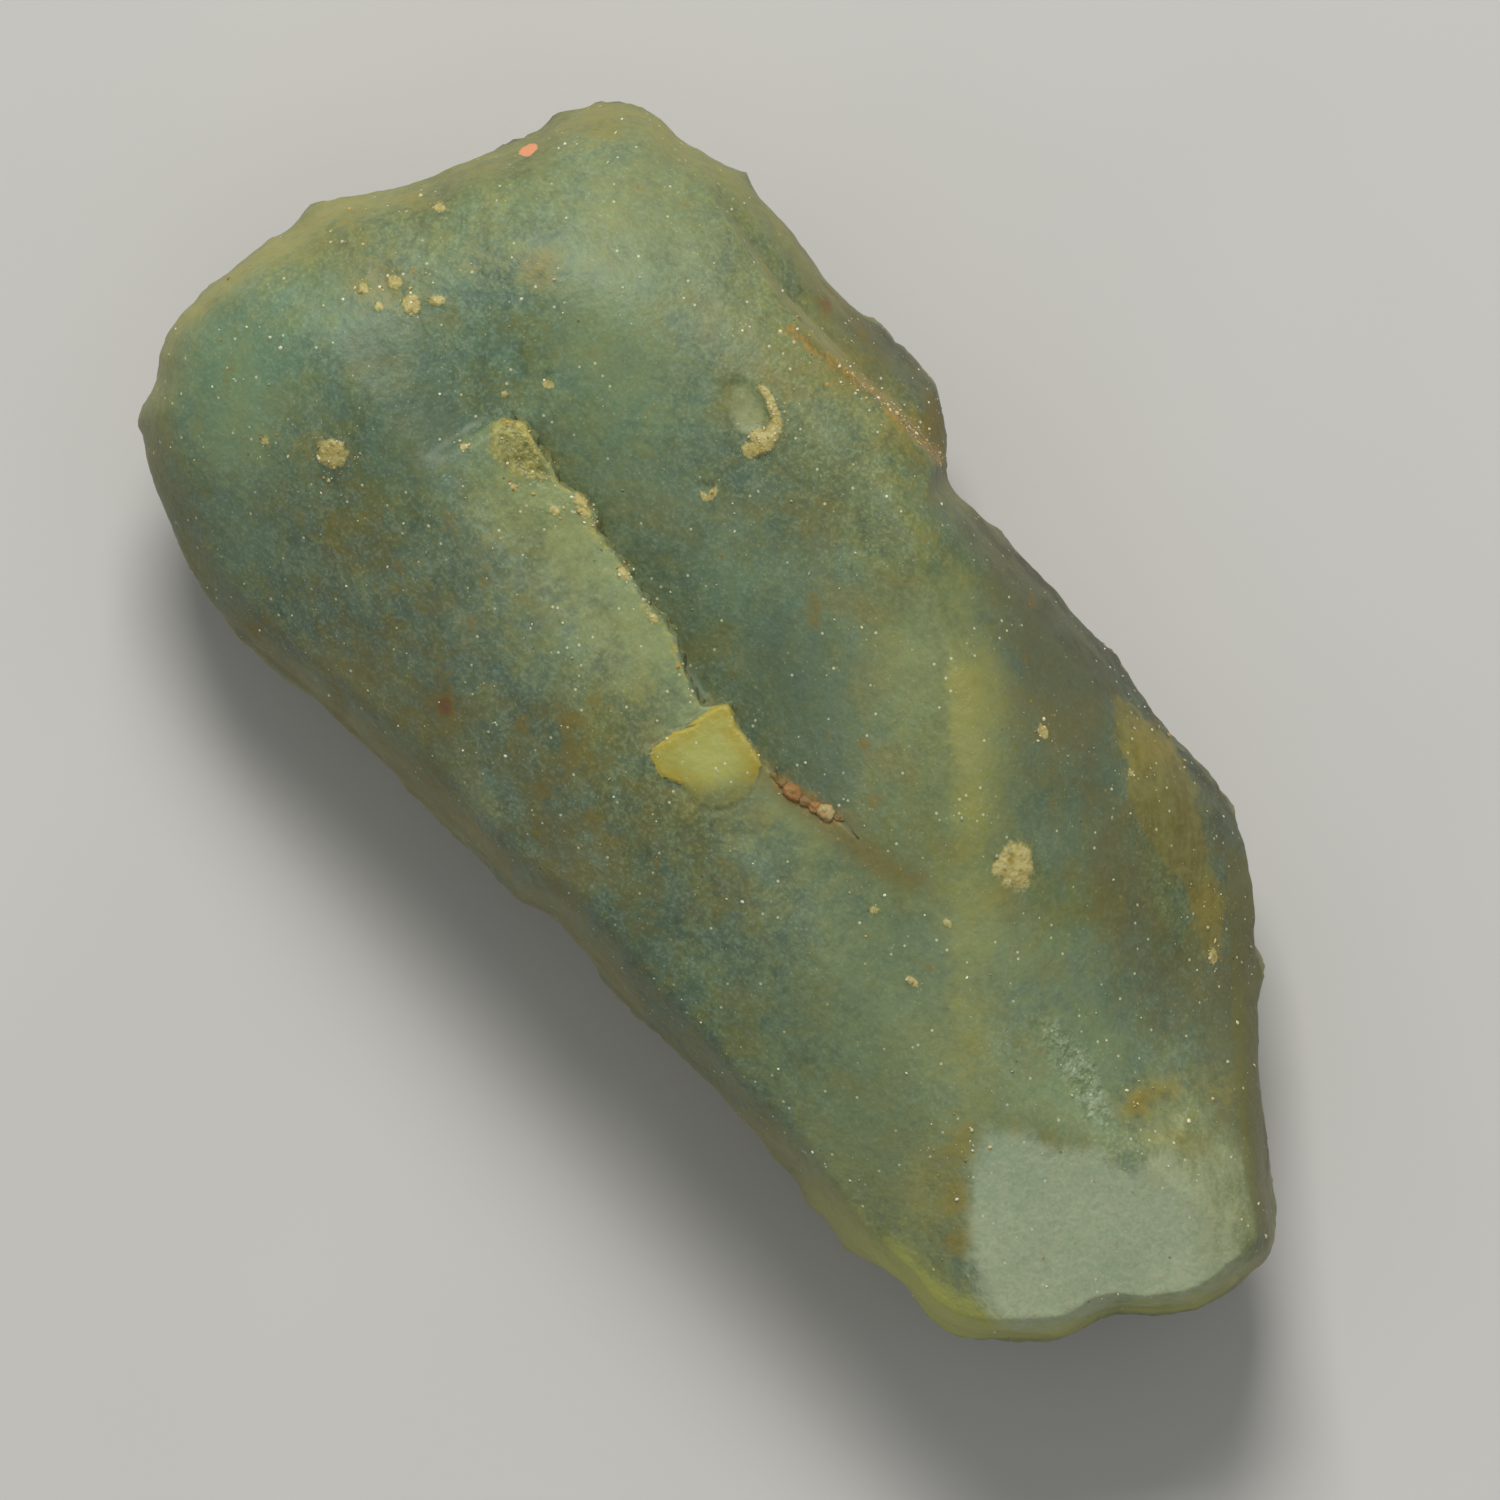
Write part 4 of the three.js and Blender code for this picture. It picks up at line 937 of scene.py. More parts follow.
# %% Body colour
rock = Recipe("aventurine rock")
broad = rock.noise(4.5, 2.0)
mottled = rock.noise(1.1, 3.0, 0.6)
fine = rock.noise(0.28, 2.0, 0.6)
grain = rock.noise(0.11, 1.0, 0.6)
streaks = rock.noise(0.5, 3.0, 0.65, rock.place(0.75, (4, 1, 1)))
texture = 1.0 - rock.mark("calm") * 0.6
tone = 0.5 + broad * 0.15 + (mottled * 0.2 + fine * 0.18 + grain * 0.14 + streaks * 0.16) * texture
skin = rock.add("ShaderNodeValToRGB", {"stops": [
    (0.0, colour(70, 84, 66)), (0.35, colour(92, 108, 86)), (0.65, colour(110, 127, 99)),
    (1.0, colour(138, 152, 118)),
]}, {0: tone})
print("body of the rock:", len(rock.tree.nodes), "nodes")

# %% [markdown]
# ## One coat over another
# From here on the colour is built like paint: each stain is one more coat over the skin so far, with a
# share between 0 and 1 that says where it covers. Iron turns the rock olive in patches that follow no
# shape, so their share is a cloud with an eased border.

# %% Olive clouds, cool clouds and frost


def over(share, coat, blend="MIX"):
    """One more coat over the skin so far, where its share is above 0."""
    return rock.mixed(share, skin, coat, blend)


patchy = rock.noise(0.8, 2.0, 0.65, rock.place(0.86, (1, 2.2, 1)))
clouded = rock.noise(0.6, 2.0, 0.7, rock.place(0.4, (1, 1.6, 1)))
tinted = rock.noise(0.7, 2.0, 0.6, rock.place(0.75, (1.8, 1, 1)))
olive_share = rock.step(rock.noise(2.4, 2.0, 0.6) + patchy * 0.5 + rock.mark("dirty") * 0.6, -0.1, 1.3)
frost_and_painted_sparkle = rock.step(grain * 0.8 + fine * 0.3, 0.0, 0.6)
skin = over(olive_share * 0.6, colour(120, 110, 54))
skin = over(rock.step(clouded, -0.2, 0.8) * texture * 0.36, colour(126, 116, 58))
skin = over(rock.step(clouded, 0.2, -0.8) * texture * 0.34, colour(98, 114, 102))
skin = over(rock.step(tinted, 0.0, 0.7), (1.07, 1.0, 0.8), "MULTIPLY")
skin = over(rock.step(tinted, 0.0, -0.7), (0.94, 1.0, 1.08), "MULTIPLY")
# Pale frost speckle: partly the frosted grain's own colour, partly painted sparkle.
skin = over(frost_and_painted_sparkle * texture * 0.24, colour(146, 160, 142))
print("with clouds and frost:", len(rock.tree.nodes), "nodes")

# %% [markdown]
# ## Tints by place
# The soft marks come first, because they colour whole stretches of rock. Some multiply the colour, which
# keeps the grain below, and others cover it. Adding noise to a mark before it is compared with a
# threshold makes its border wander.

# %% Tints and soft stains
wobble = mottled * 0.35 + fine * 0.25
# Paler rock, and painted light over the shaded crease by the pale end.
paler_rock_and_painted_light = rock.step(rock.mark("light") + clouded * 0.2 + fine * 0.15, 0.0, 1.0)
# A duller, darker olive over stretches of both flanks.
dull_flank_share = rock.step(rock.mark("grime") + clouded * 0.25 + streaks * 0.25, 0.1, 1.0)
warm_share = rock.mark("warm") * rock.step(wobble, -1.0, 0.7)
skin = over(rock.mark("green"), (0.86, 1.0, 0.98), "MULTIPLY")
skin = over(rock.mark("sallow"), (1.08, 1.0, 0.7), "MULTIPLY")
# Painted light in part: the bright spots lift the colour where the crease by the pale end is in shade.
skin = over(rock.mark("bright"), (1.5, 1.42, 1.32), "MULTIPLY")
skin = over(rock.mark("teal") * 0.55, colour(114, 148, 114))
# Painted shade in part: the dark spots darken where the skin faces away from the light.
skin = over(rock.mark("dark") * 0.5, colour(72, 84, 66))
skin = over(paler_rock_and_painted_light * 0.5, colour(130, 146, 102))
skin = over(dull_flank_share * 0.6, colour(92, 92, 64))
skin = over(warm_share * 0.6, colour(146, 152, 98))
print("with tints:", len(rock.tree.nodes), "nodes")

# %% [markdown]
# ## Hidden sides, plate and ridge
# The sides and the underside have kept patches of a yellowish weathered skin, partly real and partly
# painted light, brightened for the light that shines through the thin sides. On the plate, painted light
# gathers towards the ledge. On the ridge it makes a band with a clear side, where the ridge breaks, and a
# faded one.

# %% Weathered skin and two glowing bands
# Yellowish side skin: partly weathered rock, partly painted light for what shines through the thin sides.
cortex_and_painted_glow = rock.step(broad + mottled * 0.5 + fine * 0.4, -0.9, 0.5)
skin = over(rock.mark("hidden") * cortex_and_painted_glow * 0.7, colour(158, 148, 88))
plate_glow = rock.step(rock.mark("ledge") + wobble * 1.1 + clouded * 0.4, -2.4, 0.1)
skin = over(plate_glow * 0.45, colour(150, 164, 108))
ridge = rock.mark("ridge") + fine * 0.1 + mottled * 0.12
ridge_band = rock.step(ridge, -0.3, 0.2) * (1 - rock.step(ridge + wobble * 0.8, 0.4, 2.4))
ridge_glow = ridge_band * rock.step(rock.mark("crest") + clouded * 0.2, 0.0, 1.1)
skin = over(ridge_glow * 0.6, colour(154, 154, 84))
print("with the plate and the ridge:", len(rock.tree.nodes), "nodes")

# %% [markdown]
# ## Thin edges
# Seen from above, the skin turns away at the rim, and its shade there is painted into the colour: nearly
# black on the far side, which is in its own shade, and brown on the near one. Where light comes through,
# painted light takes over: pale yellow at the head, lime at the tail.

# %% Rims
thin_edge = rock.step(rock.mark("rim") + wobble * 0.7, -1.3, 0.1)
patches = rock.step(mottled + patchy, -0.6, 0.5) * 0.5 + 0.5
unlit = thin_edge * (1 - rock.mark("glow") - rock.mark("tail")) * patches
painted_tail_glow = rock.mark("tail") * rock.step(rock.mark("rim") + wobble * 0.6, -1.6, -0.2)
# Painted shade on the rims: nearly black on the far side, brown on the near one.
skin = over(unlit * rock.mark("far side") * 0.8, colour(50, 52, 36))
skin = over(unlit * (1 - rock.mark("far side")) * 0.6, colour(104, 98, 46))
# Painted light where the thin rim lets light through: pale yellow at the head, lime at the tail.
skin = over(thin_edge * rock.mark("glow") * 0.75, colour(156, 152, 80))
skin = over(painted_tail_glow * 0.8, colour(174, 177, 84))
print("with the rims:", len(rock.tree.nodes), "nodes")

# %% [markdown]
# ## Faces with a colour of their own
# The flat break at the end is chalky with a fine salt and pepper grain, the fibres beside it are drawn
# out along the grain, the steep strip is plain olive and the wedge is rusty. Their borders are sharp,
# because they are edges of the rock, so hardly any noise goes into their distances.

# %% Pale face, fibres, strip and wedge


def between(value, low, high, first, second):
    """A tone that runs from the first colour to the second as a value climbs."""
    return rock.mixed(rock.step(value, low, high), first, second)


pale_share = rock.step(rock.mark("pale") + mottled * 0.12 + fine * 0.1 + streaks * 0.1, -0.35, 0.3)
chalk = fine * 0.7 + grain * 0.7 + broad * 0.5
skin = over(pale_share * 0.92, between(chalk, -1.2, 1.2, colour(150, 167, 137), colour(171, 180, 150)))
fibre_share = rock.step(rock.mark("fibre") + streaks * 0.25 + mottled * 0.4, -0.6, 0.9)
fibre_tone = between(streaks + grain * 0.3, -0.7, 0.7, colour(132, 138, 96), colour(154, 160, 122))
skin = over(fibre_share * 0.65, fibre_tone)
strip_share = rock.step(rock.mark("strip") + fine * 0.08, -0.08, 0.1)
skin = over(strip_share * 0.75, colour(104, 103, 58))
wedge_share = rock.step(rock.mark("wedge") + mottled * 0.12 + fine * 0.1, -0.1, 0.15)
rusty = streaks + mottled * 0.6 + fine * 0.4
skin = over(wedge_share * 0.75, between(rusty, -0.8, 0.8, colour(114, 103, 44), colour(130, 126, 68)))
flaky = rock.mark("rough") * rock.step(fine * 0.8 + clouded * 0.6 + grain * 0.4, -0.2, 0.7)
skin = over(flaky * 0.45, colour(168, 182, 160))
print("with the faces:", len(rock.tree.nodes), "nodes")

# %% [markdown]
# ## Rust and ochre
# Rust sits in the rock as crumbly spots, so its mark gets as much noise as it has height. It is ochre
# brown at its edge and red in its heart. A brown stain runs on beyond the end of the crack.

# %% Rust, ochre and a brown stain
crumbly = mottled * 0.35 + fine * 0.45 + grain * 0.25
ochre_share = rock.step(rock.mark("yellow") + crumbly * 0.45, 0.2, 1.0)
skin = over(ochre_share * 0.6, colour(142, 128, 54))
rust_share = rock.step(
    rock.mark("rust") + patchy * 0.45 + crumbly * 0.5 + streaks * 0.4 - 0.15, 0.25, 0.85
)
heart = rock.mark("red") + crumbly * 0.3
skin = over(rust_share * 0.66, between(heart, 0.3, 0.9, colour(120, 105, 46), colour(116, 70, 42)))
brown_share = rock.step(rock.mark("brown") + crumbly * 0.35, -0.7, 0.1)
skin = over(brown_share * 0.65, colour(112, 98, 46))
print("with rust:", len(rock.tree.nodes), "nodes")

# %% [markdown]
# ## The tooth
# The tooth is a sheet thin enough for light to fill it. It is greenish in the middle and deeper yellow
# towards its broken edges, with a thin bright border, and it fades into the rock on its right and lower
# side.

# %% Tooth
tooth_depth = rock.mark("tooth") + fine * 0.05 + grain * 0.03
tooth_share = rock.step(tooth_depth, -0.02, 0.05)
tooth_faded = rock.step(rock.mark("tooth right") + wobble * 0.35, -0.45, 0.3)
tooth_tone = between(tooth_depth + wobble * 0.6, -0.1, 0.9, colour(158, 146, 58), colour(160, 163, 90))
tooth_border = rock.step(tooth_depth + fine * 0.05, 0.14, 0.02)
tooth_tone = rock.mixed(tooth_border * 0.5, tooth_tone, colour(186, 168, 76))
skin = over(tooth_share * (1 - tooth_faded * 0.8), tooth_tone)
print("with the tooth:", len(rock.tree.nodes), "nodes")

# %% [markdown]
# ## Broken corner, lip, seam and curl
# Broken edges hold dirt. The plate's left corner and the lip of the ledge are crumbly yellow, the seam
# before the low lump is dark brown with ochre in it, and a curl of ochre follows the rim of the pit near
# the end.

# %% Dirty edges
corner_share = rock.step(rock.mark("corner") + crumbly * 0.2, -0.05, 0.15)
skin = over(corner_share * 0.8, between(crumbly, -0.5, 0.5, colour(104, 104, 48), colour(172, 166, 96)))
lip_width = mottled * 0.12 + patchy * 0.08 + fine * 0.07
ledge_lip = rock.step(rock.mark("ledge") + lip_width, -0.2, 0.0)
skin = over(ledge_lip * 0.65, between(crumbly, -0.5, 0.5, colour(132, 124, 60), colour(176, 164, 88)))
seam_share = rock.step(rock.mark("seam") + crumbly * 0.25, -0.22, 0.02)
skin = over(seam_share * 0.8, between(crumbly, -0.5, 0.5, colour(88, 70, 36), colour(160, 130, 60)))
curl_share = rock.step(rock.mark("curl") + wobble * 0.3, -0.55, 0.05)
skin = over(curl_share * 0.6, colour(156, 142, 62))
print("with dirty edges:", len(rock.tree.nodes), "nodes")

# %% [markdown]
# ## Hollow, crusts and crack
# The floor of the pit is pale and clean, the crusts are cream with ochre pores, the rock along the crack
# is stained as its filling is, and the salmon fleck is plain, because it is a single grain.

# %% Small sharp marks
hollow_share = rock.step(rock.mark("hollow") + fine * 0.15 + mottled * 0.12, 0.0, 0.6)
skin = over(hollow_share * 0.6, colour(150, 156, 112))
crust_share = rock.step(rock.mark("crust") + crumbly * 0.35, -0.1, 0.25)
skin = over(crust_share, between(crumbly, -0.7, 0.5, colour(154, 138, 70), colour(184, 176, 118)))
crack_share = rock.step(rock.mark("crack") + mottled * 0.08 + fine * 0.06, -0.34, -0.12) * 0.6
stain = clouded + mottled * 0.5
skin = over(crack_share, between(stain, -0.5, 0.6, colour(132, 104, 54), colour(152, 130, 80)))
skin = over(rock.step(rock.mark("salmon") + grain * 0.1, 0.3, 0.42), colour(226, 150, 104))
print("with the small sharp marks:", len(rock.tree.nodes), "nodes")

# %% [markdown]
# ## Specks in the surface
# Quartz grains catch the light as pinpoints, which are painted into the colour as pale specks, partly white
# grains and partly painted highlights; ochre dust fills tiny pores, and a few specks are dark. All three
# come from one Voronoi pattern: a speck where a point of the pattern is near, for the few points that a
# lot picks. A finer pattern gives pale flecks, which gather on the rough patches.

# %% Specks


def cells(size):
    """How far each point is from the middle of its cell, in mm, and three lots drawn for that cell."""
    cell = rock.add("ShaderNodeTexVoronoi", None, {"Vector": rock.place(), "Scale": 1 / size}, "Distance")
    lots = rock.add("ShaderNodeSeparateColor", None, {0: Value(rock, cell.socket.node.outputs["Color"])}, 0)
    return cell * size, [Value(rock, lot) for lot in lots.socket.node.outputs]


def specks(distance, lot, radius, drawn):
    """Spots `radius` mm wide in the share `drawn` of the cells."""
    return (1 - rock.step(distance, radius * 0.6, radius)) * rock.step(lot, 1 - drawn, 1.01 - drawn)


distance, (first, second, third) = cells(0.36)
skin = over(specks(distance, first, 0.055, 0.3) * 0.5, colour(166, 144, 70))
skin = over(specks(distance, second, 0.05, 0.06) * 0.5, colour(48, 50, 38))
# Pale specks: partly white quartz grains, partly painted glints, that is highlights painted into the
# colour.
grains_and_painted_glints = specks(distance, third, 0.05, 0.42)
skin = over(grains_and_painted_glints * 0.75, colour(204, 208, 178))
distance, (first, second, third) = cells(0.13)
flecks = specks(distance, first, 0.034, 0.30) * (rock.step(mottled, -0.4, 0.8) + rock.mark("rough"))
skin = over(flecks * 0.45, colour(176, 190, 170))
print("with specks:", len(rock.tree.nodes), "nodes")

# %% [markdown]
# ## Wax, frost and translucency
# The rock scatters light below its surface, which softens its edges: that is subsurface scattering, with
# one setting for the whole stone. Frost is a rough surface with a fine bump, about a hundredth of a
# millimetre high, and grains of quartz are smoother than the frost around them, so they glint.

# %% Finish of the stone
frost = fine * (0.009 + rock.mark("rough") * 0.03 + rock.mark("crust edge") * 0.02)
bump = rock.add("ShaderNodeBump", None, {"Strength": 1.0, "Distance": MM, "Height": frost})
roughness = 0.5 + grain * 0.07 + pale_share * 0.14 + rust_share * 0.1 - grains_and_painted_glints * 0.28
roughness = roughness - rock.mark("rough") * 0.1
shader = rock.add("ShaderNodeBsdfPrincipled", {"subsurface_method": "RANDOM_WALK"}, {
    "Base Color": skin, "Roughness": roughness, "Normal": bump, "IOR": 1.54, "Specular IOR Level": 0.3,
    "Subsurface Weight": 0.28, "Subsurface Radius": (0.9, 1.0, 0.6), "Subsurface Scale": 0.0012,
})
stone.data.materials.append(rock.finished(shader))
print("rock material:", len(rock.tree.nodes), "nodes")

# %% [markdown]
# ## Dust and crumbs
# About a thousand tiny grains of quartz lie on the stone, and nearly as many of ochre. Geometry Nodes
# scatters them over the skin, more where a mark says so, gives each a size and a tone by lot, and turns
# the instances into a plain mesh. A power makes small grains common and large ones rare.

# %% A tree that scatters grains over a surface
NUMBERS_ASKED = ("Grains per square metre", "Smallest", "Largest")
RARITY, FLATTEST, LONGEST, FULL_TURN = 4.0, 0.45, 1.25, 6.28


def ask_for(tree):
    """Gives the tree its inputs by name, and its output."""
    kinds = [("Geometry", "Geometry"), *((label, "Float") for label in NUMBERS_ASKED)]
    kinds += [("Seed", "Int"), ("Where", "String"), ("Finish", "Material")]
    for label, kind in kinds:
        tree.interface.new_socket(label, in_out="INPUT", socket_type="NodeSocket" + kind)
    tree.interface.new_socket("Geometry", in_out="OUTPUT", socket_type="NodeSocketGeometry")


def grain_tree(name):
    tree = bpy.data.node_groups.new(name, "GeometryNodeTree")
    ask_for(tree)

    def add(kind, settings=None, sockets=None):
        node = tree.nodes.new(kind)
        for key, setting in (settings or {}).items():
            setattr(node, key, setting)
        for key, value in (sockets or {}).items():
            if isinstance(value, bpy.types.NodeSocket):
                tree.links.new(value, node.inputs[key])
            else:
                node.inputs[key].default_value = value
        return node.outputs

    asked = add("NodeGroupInput")
    where = add("GeometryNodeInputNamedAttribute", {"data_type": "FLOAT"}, {"Name": asked["Where"]})
    density = add("ShaderNodeMath", {"operation": "MULTIPLY"}, {0: asked[1], 1: where[0]})
    spread = {"Mesh": asked[0], "Density": density[0], "Seed": asked["Seed"]}
    scattered = add("GeometryNodeDistributePointsOnFaces", {"distribute_method": "RANDOM"}, spread)
    lot = add("FunctionNodeRandomValue", {"data_type": "FLOAT"}, {"Seed": 5})
    toned = add("GeometryNodeStoreNamedAttribute", {"data_type": "FLOAT", "domain": "POINT"}, {
        "Geometry": scattered["Points"], "Name": "lot", "Value": lot["Value"]})
    chance = add("FunctionNodeRandomValue", {"data_type": "FLOAT"}, {"Seed": 7})
    rare = add("ShaderNodeMath", {"operation": "POWER"}, {0: chance["Value"], 1: RARITY})
    size = add("ShaderNodeMapRange", None, {0: rare[0], 3: asked["Smallest"], 4: asked["Largest"]})
    shape = add("FunctionNodeRandomValue", {"data_type": "FLOAT_VECTOR"}, {
        0: (FLATTEST,) * 3, 1: (LONGEST,) * 3, "Seed": 9})
    scale = add("ShaderNodeVectorMath", {"operation": "SCALE"}, {0: shape["Value"], "Scale": size[0]})
    turn = add("FunctionNodeRandomValue", {"data_type": "FLOAT_VECTOR"}, {
        0: (0,) * 3, 1: (FULL_TURN,) * 3, "Seed": 11})
    ball = add("GeometryNodeMeshIcoSphere", None, {"Radius": 1.0, "Subdivisions": 1})
    grains = add("GeometryNodeInstanceOnPoints", None, {
        "Points": toned[0], "Instance": ball["Mesh"], "Rotation": turn["Value"], "Scale": scale[0]})
    real = add("GeometryNodeRealizeInstances", None, {"Geometry": grains[0]})
    painted = add("GeometryNodeSetMaterial", None, {"Geometry": real[0], "Material": asked["Finish"]})
    add("NodeGroupOutput", None, {0: painted[0]})
    return tree


grains_on_surface = grain_tree("grains on a surface")
print("tree nodes:", len(grains_on_surface.nodes))

# %% [markdown]
# ## The finish of the grains
# Quartz grains are white to cream, ochre ones yellow to brown. The tone that the tree stored for each
# grain picks its colour from a ramp, so no two neighbours need look alike.

# %% A finish for grains, and the tones of quartz and ochre


def grain_finish(name, stops, roughness):
    recipe = Recipe(name)
    lot = recipe.mark("lot") + recipe.noise(0.08) * 0.08
    tint = recipe.add("ShaderNodeValToRGB", {"stops": stops}, {0: lot})
    grit = recipe.noise(0.05) * 0.01
    bump = recipe.add("ShaderNodeBump", None, {"Strength": 0.6, "Distance": MM, "Height": grit})
    return recipe.finished(recipe.add("ShaderNodeBsdfPrincipled", None, {
        "Base Color": tint, "Roughness": recipe.noise(0.1) * 0.08 + roughness, "Normal": bump,
    }))


QUARTZ_TONES = [
    (0.0, colour(138, 150, 124)), (0.4, colour(176, 182, 154)), (0.8, colour(226, 228, 214)),
    (1.0, colour(206, 184, 112)),
]
OCHRE_TONES = [
    (0.0, colour(142, 112, 52)), (0.4, colour(190, 164, 92)), (0.75, colour(214, 204, 158)),
    (1.0, colour(226, 224, 204)),
]
quartz_dust = grain_finish("quartz dust", QUARTZ_TONES, 0.4)
ochre_crumb = grain_finish("ochre crumb", OCHRE_TONES, 0.55)
print("grain finishes:", quartz_dust.name, "and", ochre_crumb.name)

# %% [markdown]
# ## Rusty filling of the crack
# Beyond the tooth the crack is filled with iron-stained crumbs that have baked together. Each lump is a
# ball drawn out along the crack, roughened with noise and sunk halfway into the rock. They are one piece,
# because their finish is that of crumbs.

# %% Lumps, as (x, y, half length, half width, half height, turn in degrees, tone)
SINK, CRACK_SIDE, LUMPINESS, TONE_SPREAD = 0.02, 0.1, 0.05, 0.22
CRACK_LUMPS = [
    (0.78, -0.98, 0.22, 0.11, 0.09, 0, 0.05), (1.10, -0.93, 0.20, 0.13, 0.12, 5, 0.3),
    (1.42, -0.88, 0.33, 0.23, 0.20, 12, 0.5), (1.86, -0.76, 0.27, 0.14, 0.12, 20, 0.25),
    (2.14, -0.68, 0.20, 0.15, 0.13, 25, 0.6), (2.46, -0.54, 0.27, 0.23, 0.19, 20, 0.95),
    (2.78, -0.40, 0.20, 0.08, 0.06, 30, 0.15),
]
FILLING_TONES = [
    (0.0, colour(110, 98, 50)), (0.3, colour(128, 98, 52)), (0.55, colour(154, 112, 62)),
    (0.8, colour(162, 132, 82)), (1.0, colour(168, 154, 106)),
]


def round_ball():
    """The corners and the faces of a ball with a radius of 1."""
    ball = bmesh.new()
    bmesh.ops.create_icosphere(ball, subdivisions=4, radius=1.0)
    around = np.array([vertex.co for vertex in ball.verts])
    faces = np.array([[vertex.index for vertex in face.verts] for face in ball.faces])
    ball.free()
    return around, faces


def turned_oval(around, half_sizes, degrees):
    c, s = math.cos(math.radians(degrees)), math.sin(math.radians(degrees))
    x, y, z = (around * half_sizes).T
    return np.stack([x * c - y * s, x * s + y * c, z], 1)


def lumps(name, table, finish):
    around, faces = round_ball()
    places, tones = [], []
    for x, y, *half_sizes, degrees, tone in table:
        level = near_side_height(np.array([x]), np.array([y - CRACK_SIDE]))[0]
        place = turned_oval(around, half_sizes, degrees) + (x, y, level - SINK)
        places.append(place + around * LUMPINESS * cloud(place, 0.16, 3, 2.0)[:, None])
        tones.append(tone + TONE_SPREAD * cloud(place, 0.22, 2, 5.0))
    every_face = np.vstack([faces + k * len(around) for k in range(len(table))])
    piece = mesh_piece(name, np.vstack(places), every_face)
    keep_marks(piece, {"lot": np.concatenate(tones)})
    piece.data.materials.append(finish)
    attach(piece, "root")
    print(name, "triangles:", len(piece.data.polygons))


lumps("crack_filling", CRACK_LUMPS, grain_finish("crack filling", FILLING_TONES, 0.6))

# %% [markdown]
# ## Scattering them
# The modifier works on a copy of the skin. Its result becomes a plain mesh of its own, the modifier is
# gone with the copy, and the grains ride with the stone. The mesh loses the marks of the skin and keeps
# each grain's lot, which is all that its finish reads.

# %% Dust and crumbs
SQUARE_METRE = 1e6


def grown_on_skin(settings):
    """A plain mesh of what the tree makes on a copy of the stone."""
    skin_copy = bpy.data.objects.new("skin copy", stone.data.copy())
    bpy.context.scene.collection.objects.link(skin_copy)
    modifier = skin_copy.modifiers.new("grains", "NODES")
    modifier.node_group = grains_on_surface
    asked = [item for item in grains_on_surface.interface.items_tree if item.in_out == "INPUT"]
    for item in asked:
        if item.name in settings:
            modifier[item.identifier] = settings[item.name]
    skin_copy.update_tag()
    bpy.context.view_layer.update()
    seen = skin_copy.evaluated_get(bpy.context.evaluated_depsgraph_get())
    mesh = bpy.data.meshes.new_from_object(seen)
    bpy.data.objects.remove(skin_copy)
    return mesh


def scattered(name, per_square_mm, smallest, largest, seed, finish):
    mesh = grown_on_skin({
        "Grains per square metre": per_square_mm * SQUARE_METRE, "Smallest": smallest * MM,
        "Largest": largest * MM, "Seed": seed, "Where": name, "Finish": finish,
    })
    mesh.name = name
    mesh.materials.clear()
    mesh.materials.append(finish)
    mesh.shade_flat()
    for mark in marks:
        mesh.attributes.remove(mesh.attributes[mark])
    grains = bpy.data.objects.new(name, mesh)
    bpy.context.scene.collection.objects.link(grains)
    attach(grains, "root")
    print(name, "triangles:", len(mesh.polygons))


scattered("dust", 2.0, 0.012, 0.062, 3, quartz_dust)
scattered("crumbs", 30.0, 0.018, 0.080, 8, ochre_crumb)
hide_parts("aventurine")
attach(stone, "root")

# %% [markdown]
# ## Floor and light
# A plain pale floor and one large soft lamp from beyond the far side, with a low fill from the sky
# around, show the relief without hard shadows. The floor has a hardly visible unevenness, as painted
# board has.

# %% Stage
FLOOR_HALF = 600
KEY_TOWARDS, KEY_HEIGHT, KEY_AWAY, KEY_SIZE, KEY_WATTS = (-0.80, 0.60), 50, 0.6, 0.22, 3.0
KEY_COLOUR, SKY_COLOUR, SKY_STRENGTH = (1.0, 0.975, 0.93), (1.0, 1.0, 0.98), 0.34


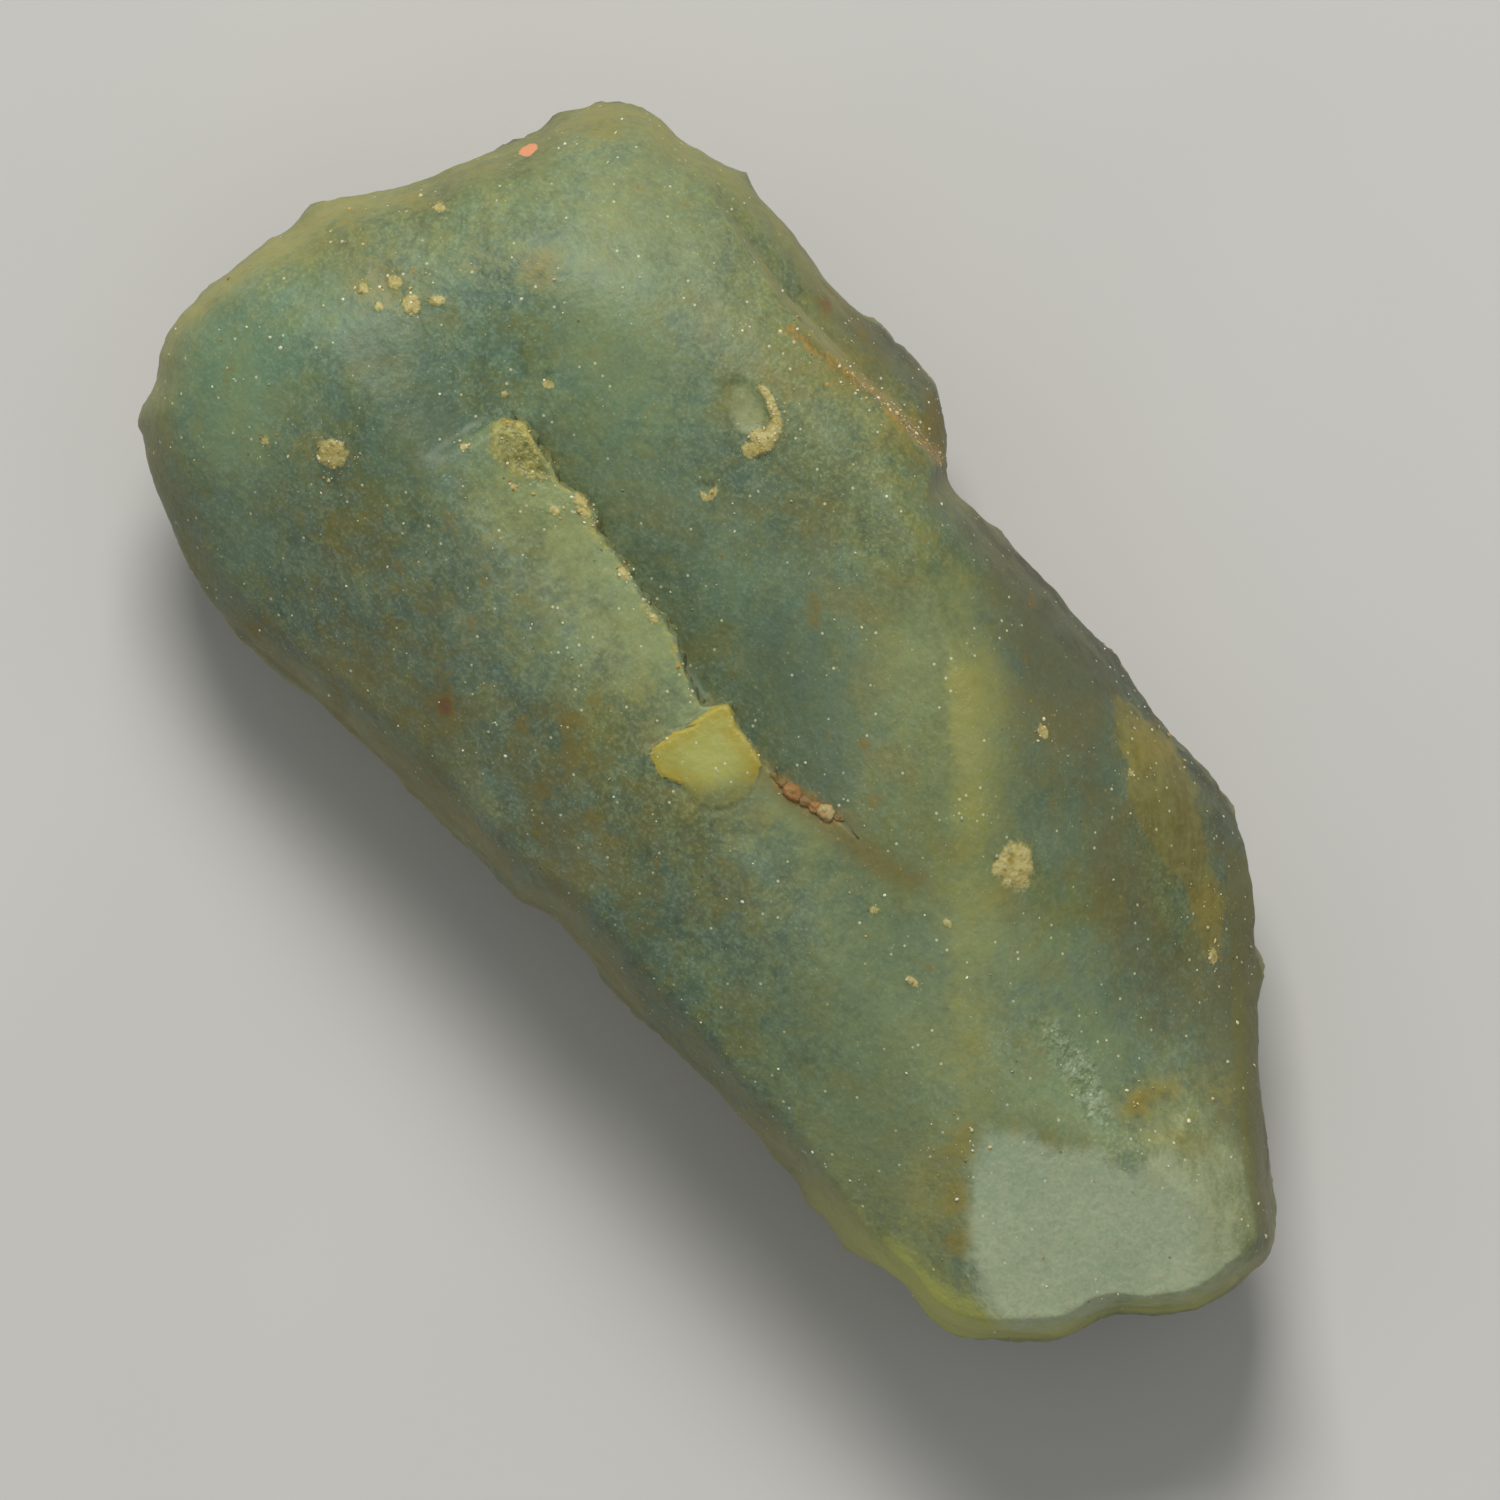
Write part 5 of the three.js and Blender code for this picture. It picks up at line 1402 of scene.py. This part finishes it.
def stage_floor():
    paint = Recipe("pale floor")
    speckle = paint.noise(20.0, 2.0)
    tint = paint.mixed(paint.step(speckle, -1, 1), colour(196, 196, 194), colour(200, 200, 198))
    surface = paint.add("ShaderNodeBsdfPrincipled", None, {"Base Color": tint, "Roughness": 0.85})
    corners = [(x * FLOOR_HALF, y * FLOOR_HALF, 0) for x, y in ((-1, -1), (1, -1), (1, 1), (-1, 1))]
    floor = mesh_piece("floor", corners, [(0, 1, 2, 3)])
    floor.data.materials.append(paint.finished(surface))


def soft_lamp(name, towards, height, away, size, watts):
    """A square lamp that looks at the stone from a plan direction and an elevation in degrees."""
    level = Vector(towards).normalized() * math.cos(math.radians(height))
    aim = Vector((level.x, level.y, math.sin(math.radians(height))))
    data = bpy.data.lights.new(name, "AREA")
    data.energy, data.size, data.color = watts, size, KEY_COLOUR
    lamp = bpy.data.objects.new(name, data)
    lamp.location = aim * away
    lamp.rotation_euler = aim.to_track_quat("Z", "Y").to_euler()
    bpy.context.scene.collection.objects.link(lamp)


def sky(strength):
    world = bpy.data.worlds.new("studio")
    world.use_nodes = True
    light = world.node_tree.nodes["Background"].inputs
    light["Color"].default_value, light["Strength"].default_value = (*SKY_COLOUR, 1), strength
    bpy.context.scene.world = world


stage_floor()
soft_lamp("key", KEY_TOWARDS, KEY_HEIGHT, KEY_AWAY, KEY_SIZE, KEY_WATTS)
sky(SKY_STRENGTH)
print("lamp, W:", KEY_WATTS)

# %% [markdown]
# ## Camera
# The camera looks straight down through a very long lens from one metre away, so that the stone is drawn
# with hardly any perspective.

# %% Camera
VIEW_CENTRE, VIEW_TURN, VIEW_WIDTH, VIEW_LEVEL = (-0.24, -0.99), 49.0, 42.0, 5.0
CAMERA_AWAY, SENSOR = 1.0, 36.0
lens = bpy.data.cameras.new("overhead")
lens.sensor_width = SENSOR
lens.lens = SENSOR * CAMERA_AWAY / (VIEW_WIDTH * MM)
lens.clip_end = 10.0
camera = bpy.data.objects.new("overhead", lens)
camera.location = (VIEW_CENTRE[0] * MM, VIEW_CENTRE[1] * MM, VIEW_LEVEL * MM + CAMERA_AWAY)
camera.rotation_euler = (0, 0, math.radians(VIEW_TURN))
bpy.context.scene.collection.objects.link(camera)
bpy.context.scene.camera = camera
bpy.context.scene.view_settings.view_transform = "Standard"
print("lens, mm:", round(lens.lens))
